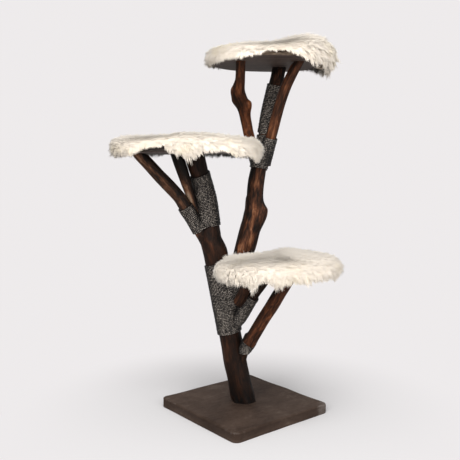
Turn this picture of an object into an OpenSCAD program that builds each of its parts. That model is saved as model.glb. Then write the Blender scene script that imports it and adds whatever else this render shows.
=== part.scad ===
// Cat tree: a leaning trunk and a second stem on a square plate, with side branches
// that carry three boards, rope windings over the joints, and a lift-off fleece on each board.
// The plate is square to X and Y. The stems spread in a plane turned by spread_turn about Z,
// and the points of the limbs are given in that turned frame: x along the spread, y away from
// the open side, z up from the floor, then the limb's radius there.

/* [Base plate] */
// Side of the square plate
base_side = 500; // [400:1:700]
// Thickness of the plate
base_thick = 40; // [30:1:50]
// Radius of the plate's corners, seen from above
base_corner = 20; // [14:1:40]
// Rounding of the plate's upper edge
base_round = 9; // [4:1:12]
// Turn of the stems' plane from the plate's sides, in degrees
spread_turn = -39; // [-60:1:0]

/* [Heights] */
// Floor to the underside of the low board
low_rise = 620; // [510:1:760]
// Underside of the low board to the underside of the left board
left_rise = 445; // [365:1:540]
// Underside of the left board to the underside of the top board
top_rise = 345; // [285:1:420]

/* [Trunk and branches] */
// Radius of the trunk at the plate
trunk_r = 50; // [41:0.5:60]
// Radius of the second stem at its thickest
stem_r = 42; // [35:0.5:50]
// Radius of the outer strut of the left board
outer_strut_r = 25; // [20:0.5:30]
// Radius of the inner strut of the left board
inner_strut_r = 23; // [19:0.5:28]
// Radius of the left branch of the top board
top_left_r = 24; // [20:0.5:29]
// Radius of the right branch of the top board
top_right_r = 21; // [17:0.5:26]
// Radius of the stump that carries the long strut
stump_r = 26; // [22:0.5:32]
// Radius of the long strut of the low board
long_strut_r = 26; // [21.5:0.5:31.5]
// Radius of the short strut of the low board
short_strut_r = 22; // [18:0.5:27]
// Radius of the roped branch of the low board
low_branch_r = 22; // [18:0.5:26.5]

/* [Rope] */
// Diameter of the rope, and so the thickness of a winding
rope_d = 6.5; // [5:0.5:9]

/* [Boards] */
// Thickness of the three boards
board_thick = 28; // [22:1:36]
// Width of the low board
low_w = 420; // [345:1:510]
// Depth of the low board
low_d = 310; // [255:1:375]
// Width of the left board
left_w = 520; // [430:1:630]
// Depth of the left board
left_d = 325; // [268:1:392]
// Width of the top board
top_w = 430; // [355:1:520]
// Depth of the top board
top_d = 385; // [320:1:465]

/* [Fleeces] */
// Height of the fleece above its board
pile = 48; // [38:1:60]
// Reach of the fleece past the edge of its board
overhang = 38; // [28:1:46]
// Drop of the fleece below the underside of its board
drape = 18; // [12:1:25]

/* [Fixings] */
// Shank diameter of the lag bolts that hold the trunk
bolt_d = 10; // [8:1:12]
// Length of the lag bolts
bolt_len = 130; // [100:1:160]
// Shank diameter of the wood screws
screw_d = 6; // [4.5:0.5:7]
// Length of the wood screws
screw_len = 60; // [50:1:70]
// Shank diameter of the coach screws that hold the second stem
coach_d = 8; // [6.5:0.5:9.5]
// Length of the coach screws
coach_len = 110; // [92:1:130]
// Thickness of each half of the hook-and-loop tape
tape_thick = 1.5; // [1:0.1:2.5]
// Side of each square of tape
tape_side = 50; // [30:1:60]

/* [Hidden] */

scribe_gap = 0.3;       // between limbs that are cut to fit each other
rope_gap = 0.3;         // between a winding and the wood in it
hole_gap = 0.3;         // round a screw or bolt in its hole
tape_gap = 0.3;         // between the two halves of the tape
fleece_gap = 2;         // between a fleece and the rim of its board
limb_sides = 14;        // sides of a limb's ring
limb_steps = 2;         // rings from one of a limb's points to the next
rim_points = 44;        // points round a board
rim_power = 2.5;        // 2 gives an oval board, a larger value squarer ends
rim_wave = 0.012;       // how far a live edge wanders, as a share of the board
far = 3000;             // larger than the whole object
hole_fn = 24;

low_z = low_rise;
left_z = low_z + left_rise;
top_z = left_z + top_rise;

// Middle of each board, and its turn in degrees. The low and left boards grow away from the
// stems: their back edges stay, and so does the left board's right end.
low_back = -107;
low_at = [123, low_back - low_d / 2];
low_turn = 22;
left_back = 12;
left_end = 39;
left_at = [left_end - left_w / 2, left_back - left_d / 2];
left_turn = -8;
top_at = [92, -88];
top_turn = 6;

// The outer strut runs from beside the trunk to a place in from the left board's far end
outer_foot_x = -179;
outer_top_x = left_end - left_w + 74;

function outer_x(share) = outer_foot_x + share * (outer_top_x - outer_foot_x);

// The limbs keep their shape near the boards. Between these heights they stretch or shrink
// when a board's height changes: plate to fork, low board to left joints, crown to top board.
fork_z = low_z - 190;
joints_z = left_z - 175;
crown_z = left_z + 70;

// The same three spacings as drawn, and a height drawn up from the foot of each
drawn_fork = 390;
drawn_joints = 270;
drawn_crown = 275;
function lower(h) = base_thick + h * (fork_z - base_thick) / drawn_fork;
function middle(h) = low_z + h * (joints_z - low_z) / drawn_joints;
function upper(h) = crown_z + h * (top_z - crown_z) / drawn_crown;

// ---- The limbs' centre lines: [x, y, z, radius] ----

trunk_path = [
    [12, 0, base_thick - 60, trunk_r + 2],
    [-1, 0, lower(2), trunk_r],
    [-15, 0, lower(70), trunk_r - 1],
    [-31, 0, lower(150), trunk_r - 3],
    [-48, 0, lower(235), trunk_r - 5],
    [-66, 0, lower(330), trunk_r - 5],
    [-85, 0, low_z - 154, trunk_r - 6],
    [-102, 0, low_z - 53, trunk_r - 6],
    [-120, 0, middle(45), trunk_r - 2],
    [-137, 0, middle(98), trunk_r - 4],
    [-146, 0, middle(195), trunk_r - 10],
    [-156, 0, middle(269), trunk_r - 11],
    [-174, -4, left_z - 103, trunk_r - 13],
    [-185, -20, left_z - 63, trunk_r - 12],
    [-201, left_back - trunk_r - 7, left_z, trunk_r - 11],
    [-213, left_back - trunk_r - 37, left_z + 50, trunk_r - 11]
];

stem_path = [
    [-76, 0, low_z - 190, stem_r - 8],
    [-49, 0, low_z - 145, stem_r - 4],
    [-24, 0, low_z - 49, stem_r - 3],
    [-1, 0, middle(45), stem_r - 1],
    [14, 0, middle(98), stem_r],
    [35, 0, middle(195), stem_r - 5],
    [44, 0, middle(269), stem_r - 8],
    [51, 0, left_z - 103, stem_r - 9],
    [64, 0, left_z - 30, stem_r - 13],
    [79, 0, left_z + 40, stem_r - 14],
    [91, 0, upper(35), stem_r - 14],
    [106, 0, upper(116), stem_r - 14],
    [127, 1, upper(211), stem_r - 14],
    [140, 3, top_z, stem_r - 14],
    [148, 4, top_z + 50, stem_r - 14]
];

outer_strut_path = [
    [outer_x(-0.13), -4, middle(75), outer_strut_r - 4],
    [outer_x(0), -20, middle(131), outer_strut_r - 2],
    [outer_x(0.14), -40, middle(193), outer_strut_r - 2],
    [outer_x(0.34), -60, left_z - 174, outer_strut_r],
    [outer_x(0.53), -80, left_z - 125, outer_strut_r],
    [outer_x(0.71), -105, left_z - 78, outer_strut_r],
    [outer_x(1), -140, left_z, outer_strut_r - 1],
    [outer_x(1.18), -162, left_z + 50, outer_strut_r - 1]
];

inner_strut_path = [
    [-160, -4, middle(155), inner_strut_r - 10],
    [-187, -14, middle(205), inner_strut_r - 8],
    [-211, -22, middle(261), inner_strut_r - 5],
    [-227, -32, left_z - 135, inner_strut_r - 3],
    [-246, -48, left_z - 70, inner_strut_r],
    [-268, -68, left_z, inner_strut_r + 1],
    [-282, -80, left_z + 50, inner_strut_r + 1]
];

top_left_path = [
    [62, 2, left_z - 45, top_left_r - 6],
    [40, 12, left_z + 18, top_left_r - 1],
    [22, 16, upper(1), top_left_r - 2],
    [11, 12, upper(50), top_left_r - 2],
    [-5, -15, upper(123), top_left_r - 2],
    [-21, -52, upper(173), top_left_r],
    [-19, -76, upper(197), top_left_r - 3],
    [-15, -108, upper(230), top_left_r - 8],
    [-15, -150, top_z, top_left_r - 9],
    [-16, -190, top_z + 40, top_left_r - 9]
];

top_right_path = [
    [66, -4, left_z - 30, top_right_r - 3],
    [95, -30, left_z + 37, top_right_r],
    [106, -42, left_z + 68, top_right_r + 1],
    [133, -75, upper(108), top_right_r],
    [162, -108, upper(196), top_right_r - 1],
    [203, -142, top_z, top_right_r - 2],
    [230, -162, top_z + 50, top_right_r - 2]
];

stump_path = [
    [-52, 10, lower(125), stump_r - 6],
    [-32, 0, lower(163), stump_r - 3],
    [-3, -20, lower(212), stump_r - 2],
    [21, -40, lower(259), stump_r - 2],
    [35, -52, lower(294), stump_r - 3]
];

long_strut_path = [
    [18, -68, lower(258), long_strut_r - 5],
    [28, -76, lower(275), long_strut_r - 2],
    [69, -92, lower(355), long_strut_r],
    [103, -110, low_z - 164, long_strut_r],
    [139, -135, low_z - 96, long_strut_r - 1],
    [190, -178, low_z, long_strut_r - 2],
    [219, -202, low_z + 50, long_strut_r - 2]
];

short_strut_path = [
    [-17, -58, low_z - 160, short_strut_r - 8],
    [-13, -68, low_z - 140, short_strut_r],
    [0, -98, low_z - 100, short_strut_r],
    [15, -140, low_z - 50, short_strut_r],
    [34, -192, low_z, short_strut_r],
    [52, -240, low_z + 50, short_strut_r]
];

low_branch_path = [
    [-60, -2, lower(275), low_branch_r - 8],
    [-35, -16, lower(325), low_branch_r - 2],
    [-6, -42, lower(380), low_branch_r],
    [24, -72, low_z - 145, low_branch_r - 3],
    [49, -96, low_z - 106, low_branch_r - 7],
    [78, -126, low_z - 62, low_branch_r - 8],
    [108, -162, low_z, low_branch_r - 9],
    [128, -186, low_z + 50, low_branch_r - 9]
];

// ---- Swellings on a limb: [place along its points, direction, height, length, half width] ----

stem_knots = [[5.2, 0, 23, 0.5, 40], [8.6, 120, 6, 0.3, 30]];
top_left_knots = [
    [4.7, 185, 6, 0.45, 48], [5.9, 170, 6, 0.5, 48], [4.1, 0, 8, 0.3, 34]
];
outer_strut_knots = [[2.4, 170, 5, 0.3, 40]];
long_strut_knots = [[1.2, 200, 6, 0.35, 40], [3.2, 20, 3, 0.4, 40]];
trunk_knots = [[7.9, 15, 6, 0.7, 50], [3.2, 190, 4, 0.5, 40]];
no_knots = [];

// ---- Curves ----

function unit(v) = v / norm(v);

function blend4(a, b, c, d, t) =
    0.5 * (2 * b + (c - a) * t + (2 * a - 5 * b + 4 * c - d) * t * t
    + (3 * b - a - 3 * c + d) * t * t * t);

// The limb's point and radius at place s, where whole numbers are the listed points
function at(path, s) =
    let (
        last = len(path) - 1,
        i = min(max(floor(s), 0), last - 1)
    )
    blend4(path[max(i - 1, 0)], path[i], path[i + 1], path[min(i + 2, last)], s - i);

function centre(path, s) = let (p = at(path, s)) [p[0], p[1], p[2]];

function heading(path, s) =
    let (
        e = 0.05,
        last = len(path) - 1
    )
    unit(centre(path, min(s + e, last)) - centre(path, max(s - e, 0)));

function around(a, b) = let (d = abs(a - b) % 360) min(d, 360 - d);

function bell(x) = exp(-x * x);

// Radius in direction a at place s: a little uneven, with the limb's swellings
function girth(path, knots, s, a) =
    at(path, s)[3] * (1 + 0.03 * sin(2 * a + 110 * s) + 0.02 * sin(3 * a - 75 * s))
    + sum_of([for (k = knots) k[2] * bell((s - k[0]) / k[3]) * bell(around(a, k[1]) / k[4])]);

function sum_of(v, i = 0) = i < len(v) ? v[i] + sum_of(v, i + 1) : 0;

function ring(path, knots, s, grow) =
    let (
        t = heading(path, s),
        u = unit(cross([0, 1, 0], t)),
        w = cross(t, u)
    )
    [for (i = [0 : limb_sides - 1])
        let (
            a = 360 * i / limb_sides,
            r = girth(path, knots, s, a) + grow
        )
        centre(path, s) + r * cos(a) * u + r * sin(a) * w];

// ---- Building blocks ----

// The wood between two neighbouring rings
module span(path, knots, s, step, grow) {
    n = limb_sides;
    hull() polyhedron(
        points = concat(ring(path, knots, s, grow), ring(path, knots, s + step, grow)),
        faces = [
            [for (i = [0 : n - 1]) i],
            [for (i = [n - 1 : -1 : 0]) i + n]
        ]
    );
}

// A limb from place lo to place hi, or all of it, with grow added to its radius
module limb(path, knots, lo = 0, hi = -1, grow = 0) {
    step = 1 / limb_steps;
    end = hi < 0 ? len(path) - 1 : hi;
    for (s = [lo : step : end - step / 2]) {
        span(path, knots, s, step, grow);
    }
}

module trunk_wood(lo = 0, hi = -1, grow = 0) {
    limb(trunk_path, trunk_knots, lo, hi, grow);
}

module stem_wood(lo = 0, hi = -1, grow = 0) {
    limb(stem_path, stem_knots, lo, hi, grow);
}

module outer_strut_wood(lo = 0, hi = -1, grow = 0) {
    limb(outer_strut_path, outer_strut_knots, lo, hi, grow);
}

module inner_strut_wood(lo = 0, hi = -1, grow = 0) {
    limb(inner_strut_path, no_knots, lo, hi, grow);
}

module top_left_wood(lo = 0, hi = -1, grow = 0) {
    limb(top_left_path, top_left_knots, lo, hi, grow);
}

module top_right_wood(lo = 0, hi = -1, grow = 0) {
    limb(top_right_path, no_knots, lo, hi, grow);
}

module stump_wood(lo = 0, hi = -1, grow = 0) {
    limb(stump_path, no_knots, lo, hi, grow);
}

module long_strut_wood(lo = 0, hi = -1, grow = 0) {
    limb(long_strut_path, long_strut_knots, lo, hi, grow);
}

module short_strut_wood(lo = 0, hi = -1, grow = 0) {
    limb(short_strut_path, no_knots, lo, hi, grow);
}

module low_branch_wood(lo = 0, hi = -1, grow = 0) {
    limb(low_branch_path, no_knots, lo, hi, grow);
}

// Everything above height z, to saw a limb off level
module above(z) {
    translate([-far / 2, -far / 2, z]) cube(far);
}

module below(z) {
    translate([-far / 2, -far / 2, z - far]) cube(far);
}

// Turns the stems' plane on the plate
module spread() {
    rotate([0, 0, spread_turn]) children();
}

// Puts the child's origin at p with its z axis along direction t
module aim(p, t) {
    translate(p) rotate([0, acos(t[2]), atan2(t[1], t[0])]) children();
}

// ---- Screws ----

head_h = 3.5;
pocket = 60;            // how far out a head's pocket runs, to clear the limb
head_sink = 10;         // from the limb's surface to the underside of the head

// A pan-headed screw, its head's underside at the origin and its tip up the z axis
module screw(d, len) {
    translate([0, 0, -head_h]) cylinder(h = head_h, r = d);
    cylinder(h = len - d, d = d);
    translate([0, 0, len - d]) cylinder(h = d, r1 = d / 2, r2 = d / 10);
}

// The hole and the head's pocket that the screw goes in
module screw_hole(d, len) {
    translate([0, 0, -pocket]) cylinder(h = pocket, r = d + hole_gap, $fn = hole_fn);
    cylinder(h = len + 1, d = d + 2 * hole_gap, $fn = hole_fn);
}

// Screws between limbs: [limb's path, place on it, the point that the screw is aimed at]
fork_joints = [
    [stem_path, 1.7, centre(trunk_path, 6.3)],
    [stem_path, 2.2, centre(trunk_path, 6.8)]
];
left_joints = [
    [outer_strut_path, 1.2, centre(trunk_path, 9.9)],
    [outer_strut_path, 1.8, centre(trunk_path, 10.4)],
    [inner_strut_path, 1.1, centre(trunk_path, 10.7)]
];
crown_joints = [
    [top_left_path, 1.1, centre(stem_path, 8.7)],
    [top_left_path, 1.6, centre(stem_path, 9.2)],
    [top_right_path, 1.0, centre(stem_path, 9.0)],
    [top_right_path, 1.7, centre(stem_path, 9.6)]
];
low_joints = [
    [stump_path, 1.5, centre(trunk_path, 3.5)],
    [stump_path, 2.3, centre(trunk_path, 4.1)],
    [stump_path, 3.3, centre(long_strut_path, 1.0)],
    [short_strut_path, 1.1, centre(stem_path, 1.4)],
    [low_branch_path, 1.2, centre(trunk_path, 5.3)]
];

module at_joint(j) {
    t = unit(j[2] - centre(j[0], j[1]));
    aim(centre(j[0], j[1]) - t * (at(j[0], j[1])[3] - head_sink), t) children();
}

module joint_screws(joints, d = screw_d, len = screw_len) {
    for (j = joints) {
        at_joint(j) screw(d, len);
    }
}

module joint_holes(joints, d = screw_d, len = screw_len) {
    for (j = joints) {
        at_joint(j) screw_hole(d, len);
    }
}

module fork_holes() {
    joint_holes(fork_joints, coach_d, coach_len);
}

// Screws through a board into the limbs below it: [limb's path, place at the board]
board_sink = 8;
low_tops = [[long_strut_path, 5], [short_strut_path, 4], [low_branch_path, 6]];
left_tops = [[trunk_path, 14], [outer_strut_path, 6], [inner_strut_path, 5]];
top_tops = [[stem_path, 13], [top_left_path, 8], [top_right_path, 5]];

module at_top(top) {
    t = heading(top[0], top[1]);
    aim(centre(top[0], top[1]) + t * (board_thick - board_sink), -t) children();
}

module board_screws(tops) {
    for (top = tops) {
        at_top(top) screw(screw_d, screw_len);
    }
}

module board_holes(tops) {
    for (top = tops) {
        at_top(top) screw_hole(screw_d, screw_len);
    }
}

// ---- Base ----

bolt_ring = 26;
bolt_seat = 12;
washer_r = 1.4 * bolt_d;
washer_h = 2;
bolt_head_h = 7;

module base_corner_puck() {
    rotate_extrude($fn = 32) polygon(concat(
        [[0, base_thick], [0, 0], [base_corner - 2, 0], [base_corner, 2]],
        [for (a = [0 : 15 : 90]) [
            base_corner - base_round + base_round * cos(a),
            base_thick - base_round + base_round * sin(a)
        ]]
    ));
}

module at_bolts() {
    for (a = [30, 150, 270]) {
        rotate([0, 0, a]) translate([bolt_ring, 0, 0]) children();
    }
}

module base_plate() {
    inset = base_side / 2 - base_corner;
    color("#453a33") difference() {
        hull() for (x = [-inset, inset], y = [-inset, inset]) {
            translate([x, y, 0]) base_corner_puck();
        }
        at_bolts() {
            translate([0, 0, -1]) cylinder(h = bolt_seat + 1, r = washer_r + 1);
            cylinder(h = base_thick + 1, r = bolt_d / 2 + hole_gap);
        }
    }
}

module base_bolts() {
    color("#b8b8b4") at_bolts() translate([0, 0, bolt_seat - washer_h]) {
        translate([0, 0, -bolt_head_h]) cylinder(h = bolt_head_h, r = bolt_d * 0.95, $fn = 6);
        cylinder(h = bolt_len - bolt_d, d = bolt_d);
        translate([0, 0, bolt_len - bolt_d]) cylinder(h = bolt_d, r1 = bolt_d / 2, r2 = 1);
    }
}

module base_washers() {
    color("#a8a8a4") at_bolts() translate([0, 0, bolt_seat - washer_h]) difference() {
        cylinder(h = washer_h, r = washer_r);
        translate([0, 0, -1]) cylinder(h = washer_h + 2, r = bolt_d / 2 + hole_gap);
    }
}

module bolt_holes() {
    at_bolts() cylinder(h = bolt_len + bolt_seat, r = bolt_d / 2 + hole_gap, $fn = hole_fn);
}

// ---- Limbs ----

module trunk() {
    color("#4a2a1a") difference() {
        spread() difference() {
            trunk_wood();
            below(base_thick);
            above(left_z);
            fork_holes();
            joint_holes(left_joints);
            joint_holes(low_joints);
            board_holes(left_tops);
        }
        bolt_holes();
    }
}

module second_stem() {
    color("#5a321c") spread() difference() {
        stem_wood();
        trunk_wood(grow = scribe_gap);
        above(top_z);
        fork_holes();
        joint_holes(crown_joints);
        joint_holes(low_joints);
        board_holes(top_tops);
    }
}

module left_outer_strut() {
    color("#4d3020") spread() difference() {
        outer_strut_wood();
        trunk_wood(grow = scribe_gap);
        above(left_z);
        joint_holes(left_joints);
        board_holes(left_tops);
    }
}

module left_inner_strut() {
    color("#5e4634") spread() difference() {
        inner_strut_wood();
        trunk_wood(grow = scribe_gap);
        outer_strut_wood(grow = scribe_gap);
        above(left_z);
        joint_holes(left_joints);
        board_holes(left_tops);
    }
}

module top_left_branch() {
    color("#55301e") spread() difference() {
        top_left_wood();
        stem_wood(grow = scribe_gap);
        above(top_z);
        joint_holes(crown_joints);
        board_holes(top_tops);
    }
}

module top_right_branch() {
    color("#4c281a") spread() difference() {
        top_right_wood();
        stem_wood(grow = scribe_gap);
        top_left_wood(grow = scribe_gap);
        above(top_z);
        joint_holes(crown_joints);
        board_holes(top_tops);
    }
}

module stump() {
    color("#35231a") spread() difference() {
        stump_wood();
        trunk_wood(grow = scribe_gap);
        joint_holes(low_joints);
    }
}

module low_long_strut() {
    color("#50301c") spread() difference() {
        long_strut_wood();
        stump_wood(grow = scribe_gap);
        trunk_wood(grow = scribe_gap);
        above(low_z);
        joint_holes(low_joints);
        board_holes(low_tops);
    }
}

module low_short_strut() {
    color("#4a2c1e") spread() difference() {
        short_strut_wood();
        low_branch_wood(grow = rope_d + rope_gap + scribe_gap);
        trunk_wood(grow = rope_d + rope_gap + scribe_gap);
        stem_wood(grow = rope_d + rope_gap + scribe_gap);
        above(low_z);
        joint_holes(low_joints);
        board_holes(low_tops);
    }
}

module low_branch() {
    color("#3c271c") spread() difference() {
        low_branch_wood();
        trunk_wood(grow = scribe_gap);
        stem_wood(grow = scribe_gap);
        above(low_z);
        joint_holes(low_joints);
        board_holes(low_tops);
    }
}

// ---- Rope windings ----

// Outsides of the windings on the two stems, with grow added
module fork_wrap(grow = 0) {
    trunk_wood(4.55, 7.55, grow = rope_gap + rope_d + grow);
    stem_wood(1.15, 2.65, grow = rope_gap + rope_d + grow);
}

module left_stem_wrap(grow = 0) {
    trunk_wood(9.6, 12.6, grow = rope_gap + rope_d + grow);
}

module fork_rope() {
    color("#2e2b2a") spread() difference() {
        fork_wrap();
        trunk_wood(grow = rope_gap);
        stem_wood(grow = rope_gap);
        low_branch_wood(grow = rope_gap);
        joint_holes(low_joints);
    }
}

module low_branch_rope() {
    color("#2b2827") spread() difference() {
        low_branch_wood(1.1, 3.6, grow = rope_gap + rope_d);
        low_branch_wood(grow = rope_gap);
        trunk_wood(grow = rope_gap + rope_d + scribe_gap);
        stem_wood(grow = rope_gap + rope_d + scribe_gap);
        fork_wrap(scribe_gap);
        joint_holes(low_joints);
    }
}

module stump_rope() {
    color("#2b2827") spread() difference() {
        stump_wood(1.1, 3.6, grow = rope_gap + rope_d);
        stump_wood(grow = rope_gap);
        trunk_wood(grow = scribe_gap);
        long_strut_wood(grow = scribe_gap);
        joint_holes(low_joints);
    }
}

module left_stem_rope() {
    color("#2e2b2a") spread() difference() {
        left_stem_wrap();
        trunk_wood(grow = rope_gap);
        outer_strut_wood(grow = rope_gap);
        inner_strut_wood(grow = rope_gap);
        joint_holes(left_joints);
    }
}

module left_strut_rope() {
    color("#2b2827") spread() difference() {
        outer_strut_wood(1.1, 2.6, grow = rope_gap + rope_d);
        outer_strut_wood(grow = rope_gap);
        inner_strut_wood(grow = rope_gap);
        trunk_wood(grow = rope_gap + rope_d + scribe_gap);
        left_stem_wrap(scribe_gap);
        joint_holes(left_joints);
    }
}

module crown_rope() {
    color("#2b2827") spread() difference() {
        union() {
            stem_wood(7.6, 9.6, grow = rope_gap + rope_d);
            top_left_wood(0.6, 1.6, grow = rope_gap + rope_d);
            top_right_wood(0.6, 1.6, grow = rope_gap + rope_d);
        }
        stem_wood(grow = rope_gap);
        top_left_wood(grow = rope_gap);
        top_right_wood(grow = rope_gap);
        joint_holes(crown_joints);
    }
}

module post_rope() {
    color("#2e2b2a") spread() difference() {
        stem_wood(9.7, 12.2, grow = rope_gap + rope_d);
        stem_wood(grow = rope_gap);
        top_left_wood(grow = rope_gap + rope_d + scribe_gap);
        top_right_wood(grow = rope_gap + rope_d + scribe_gap);
    }
}

// ---- Boards ----

function power_of(x, p) = sign(x) * pow(abs(x), p);

// Outline of a board, or of a fleece that reaches past it: a rounded oblong with a live edge
function rim(w, d, wave, reach = 0) = [
    for (i = [0 : rim_points - 1])
        let (
            a = 360 * i / rim_points,
            edge = 1 + rim_wave * (sin(3 * a + wave) + 0.6 * sin(5 * a - 2 * wave))
        )
        [
            (w / 2 + reach) * power_of(cos(a), 2 / rim_power) * edge,
            (d / 2 + reach) * power_of(sin(a), 2 / rim_power) * edge
        ]
];

module slab(w, d, wave, h, reach = 0) {
    linear_extrude(height = h) polygon(rim(w, d, wave, reach));
}

module at_board(middle, turn, z) {
    translate([middle[0], middle[1], z]) rotate([0, 0, turn]) children();
}

low_wave = 20;
left_wave = 140;
top_wave = 250;

module low_board() {
    color("#3f352f") spread() difference() {
        at_board(low_at, low_turn, low_z) slab(low_w, low_d, low_wave, board_thick);
        board_holes(low_tops);
    }
}

module left_board() {
    color("#3f352f") spread() difference() {
        at_board(left_at, left_turn, left_z) slab(left_w, left_d, left_wave, board_thick);
        board_holes(left_tops);
    }
}

module top_board() {
    color("#3f352f") spread() difference() {
        at_board(top_at, top_turn, top_z) slab(top_w, top_d, top_wave, board_thick);
        board_holes(top_tops);
    }
}

module low_board_screws() {
    color("#b8b8b4") spread() board_screws(low_tops);
}

module left_board_screws() {
    color("#b8b8b4") spread() board_screws(left_tops);
}

module top_board_screws() {
    color("#b8b8b4") spread() board_screws(top_tops);
}

module fork_screws() {
    color("#b8b8b4") spread() joint_screws(fork_joints, coach_d, coach_len);
}

module left_strut_screws() {
    color("#b8b8b4") spread() joint_screws(left_joints);
}

module crown_screws() {
    color("#b8b8b4") spread() joint_screws(crown_joints);
}

module low_strut_screws() {
    color("#b8b8b4") spread() joint_screws(low_joints);
}

// ---- Tape and fleeces ----

// Squares of tape near the four quarters of a board
module tapes(w, d) {
    for (x = [-w * 0.3, w * 0.3], y = [-d * 0.3, d * 0.3]) {
        translate([x - tape_side / 2, y - tape_side / 2, 0]) cube([tape_side, tape_side, tape_thick]);
    }
}

loop_lift = tape_thick + tape_gap;
hide_lift = loop_lift + tape_thick;

module low_hook_tape() {
    color("#1d1d1f") spread() at_board(low_at, low_turn, low_z + board_thick) tapes(low_w, low_d);
}

module left_hook_tape() {
    color("#1d1d1f") spread() at_board(left_at, left_turn, left_z + board_thick) tapes(left_w, left_d);
}

module top_hook_tape() {
    color("#1d1d1f") spread() at_board(top_at, top_turn, top_z + board_thick) tapes(top_w, top_d);
}

module low_loop_tape() {
    color("#26262a") spread() at_board(low_at, low_turn, low_z + board_thick + loop_lift)
        tapes(low_w, low_d);
}

module left_loop_tape() {
    color("#26262a") spread() at_board(left_at, left_turn, left_z + board_thick + loop_lift)
        tapes(left_w, left_d);
}

module top_loop_tape() {
    color("#26262a") spread() at_board(top_at, top_turn, top_z + board_thick + loop_lift)
        tapes(top_w, top_d);
}

// A long-haired hide over a board: a domed top, and hair that hangs past the rim
module fleece(w, d, wave) {
    crown = board_thick + pile;
    layer = 0.5;
    // From the hem up to the crown: [height over the board's underside, reach past its rim]
    profile = [
        [-drape, overhang - 8],
        [0, overhang],
        [crown - 32, overhang - 5],
        [crown - 12, overhang - 24],
        [crown - layer, overhang - 65]
    ];
    difference() {
        hull() for (p = profile) {
            translate([0, 0, p[0]]) slab(w, d, wave, layer, p[1]);
        }
        translate([0, 0, -drape - 1])
            slab(w, d, wave, drape + 1 + board_thick + hide_lift, fleece_gap);
    }
}

module low_fleece() {
    color("#f3ede2") spread() at_board(low_at, low_turn, low_z) fleece(low_w, low_d, low_wave);
}

module left_fleece() {
    color("#f3ede2") spread() at_board(left_at, left_turn, left_z) fleece(left_w, left_d, left_wave);
}

module top_fleece() {
    color("#f3ede2") spread() at_board(top_at, top_turn, top_z) fleece(top_w, top_d, top_wave);
}

base_plate();
base_bolts();
base_washers();
trunk();
second_stem();
left_outer_strut();
left_inner_strut();
top_left_branch();
top_right_branch();
stump();
low_long_strut();
low_short_strut();
low_branch();
fork_rope();
low_branch_rope();
stump_rope();
left_stem_rope();
left_strut_rope();
crown_rope();
post_rope();
low_board();
left_board();
top_board();
low_board_screws();
left_board_screws();
top_board_screws();
fork_screws();
left_strut_screws();
crown_screws();
low_strut_screws();
low_hook_tape();
left_hook_tape();
top_hook_tape();
low_loop_tape();
left_loop_tape();
top_loop_tape();
low_fleece();
left_fleece();
top_fleece();
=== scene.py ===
import math

import bmesh
import bpy
import numpy as np
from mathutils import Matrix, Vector
from mathutils.bvhtree import BVHTree
from mathutils.kdtree import KDTree


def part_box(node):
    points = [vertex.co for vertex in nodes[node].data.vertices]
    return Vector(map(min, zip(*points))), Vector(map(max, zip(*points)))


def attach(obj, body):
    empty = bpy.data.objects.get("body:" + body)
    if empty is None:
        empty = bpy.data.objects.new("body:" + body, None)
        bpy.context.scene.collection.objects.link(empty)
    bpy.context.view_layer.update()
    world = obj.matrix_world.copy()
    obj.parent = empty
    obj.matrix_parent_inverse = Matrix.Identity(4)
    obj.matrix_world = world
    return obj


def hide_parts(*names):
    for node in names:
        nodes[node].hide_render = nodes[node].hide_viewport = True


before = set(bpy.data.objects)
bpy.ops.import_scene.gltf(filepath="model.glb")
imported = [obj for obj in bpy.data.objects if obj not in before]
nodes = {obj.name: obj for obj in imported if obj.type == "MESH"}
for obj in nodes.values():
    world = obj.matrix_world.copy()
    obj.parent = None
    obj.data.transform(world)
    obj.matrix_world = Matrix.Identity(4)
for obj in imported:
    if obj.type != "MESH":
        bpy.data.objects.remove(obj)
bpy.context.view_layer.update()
scene = bpy.context.scene


# A camera at eye height in front of the tree, looking a little down
view = dict(lens=50, place=(-1.689, -1.990, 0.993), yaw=39.07, down=5.16)

camera = bpy.data.objects.new("camera", bpy.data.cameras.new("camera"))
camera.data.lens = view["lens"]
camera.location = view["place"]
camera.rotation_euler = (math.radians(90 - view["down"]), 0, -math.radians(view["yaw"]))
scene.collection.objects.link(camera)
scene.camera = camera

# The limbs spread in a plane turned by this angle: spreadX runs along it, spreadY away from it
spread = math.radians(-39)
spreadX = np.array([math.cos(spread), math.sin(spread), 0])
spreadY = np.array([-math.sin(spread), math.cos(spread), 0])


class Socket:
    def __init__(self, graph, socket):
        self.graph, self.socket = graph, socket

    def out(self, name):
        return Socket(self.graph, self.socket.node.outputs[name])

    def math(self, operation, *others):
        return self.graph.node("ShaderNodeMath", {"operation": operation}, (self, *others))

    def __add__(self, other):
        return self.math("ADD", other)

    def __mul__(self, other):
        return self.math("MULTIPLY", other)

    def __sub__(self, other):
        return self.math("SUBTRACT", other)

    def __rsub__(self, other):
        return self.graph.node("ShaderNodeMath", {"operation": "SUBTRACT"}, (other, self))

    __radd__ = __add__
    __rmul__ = __mul__


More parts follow.
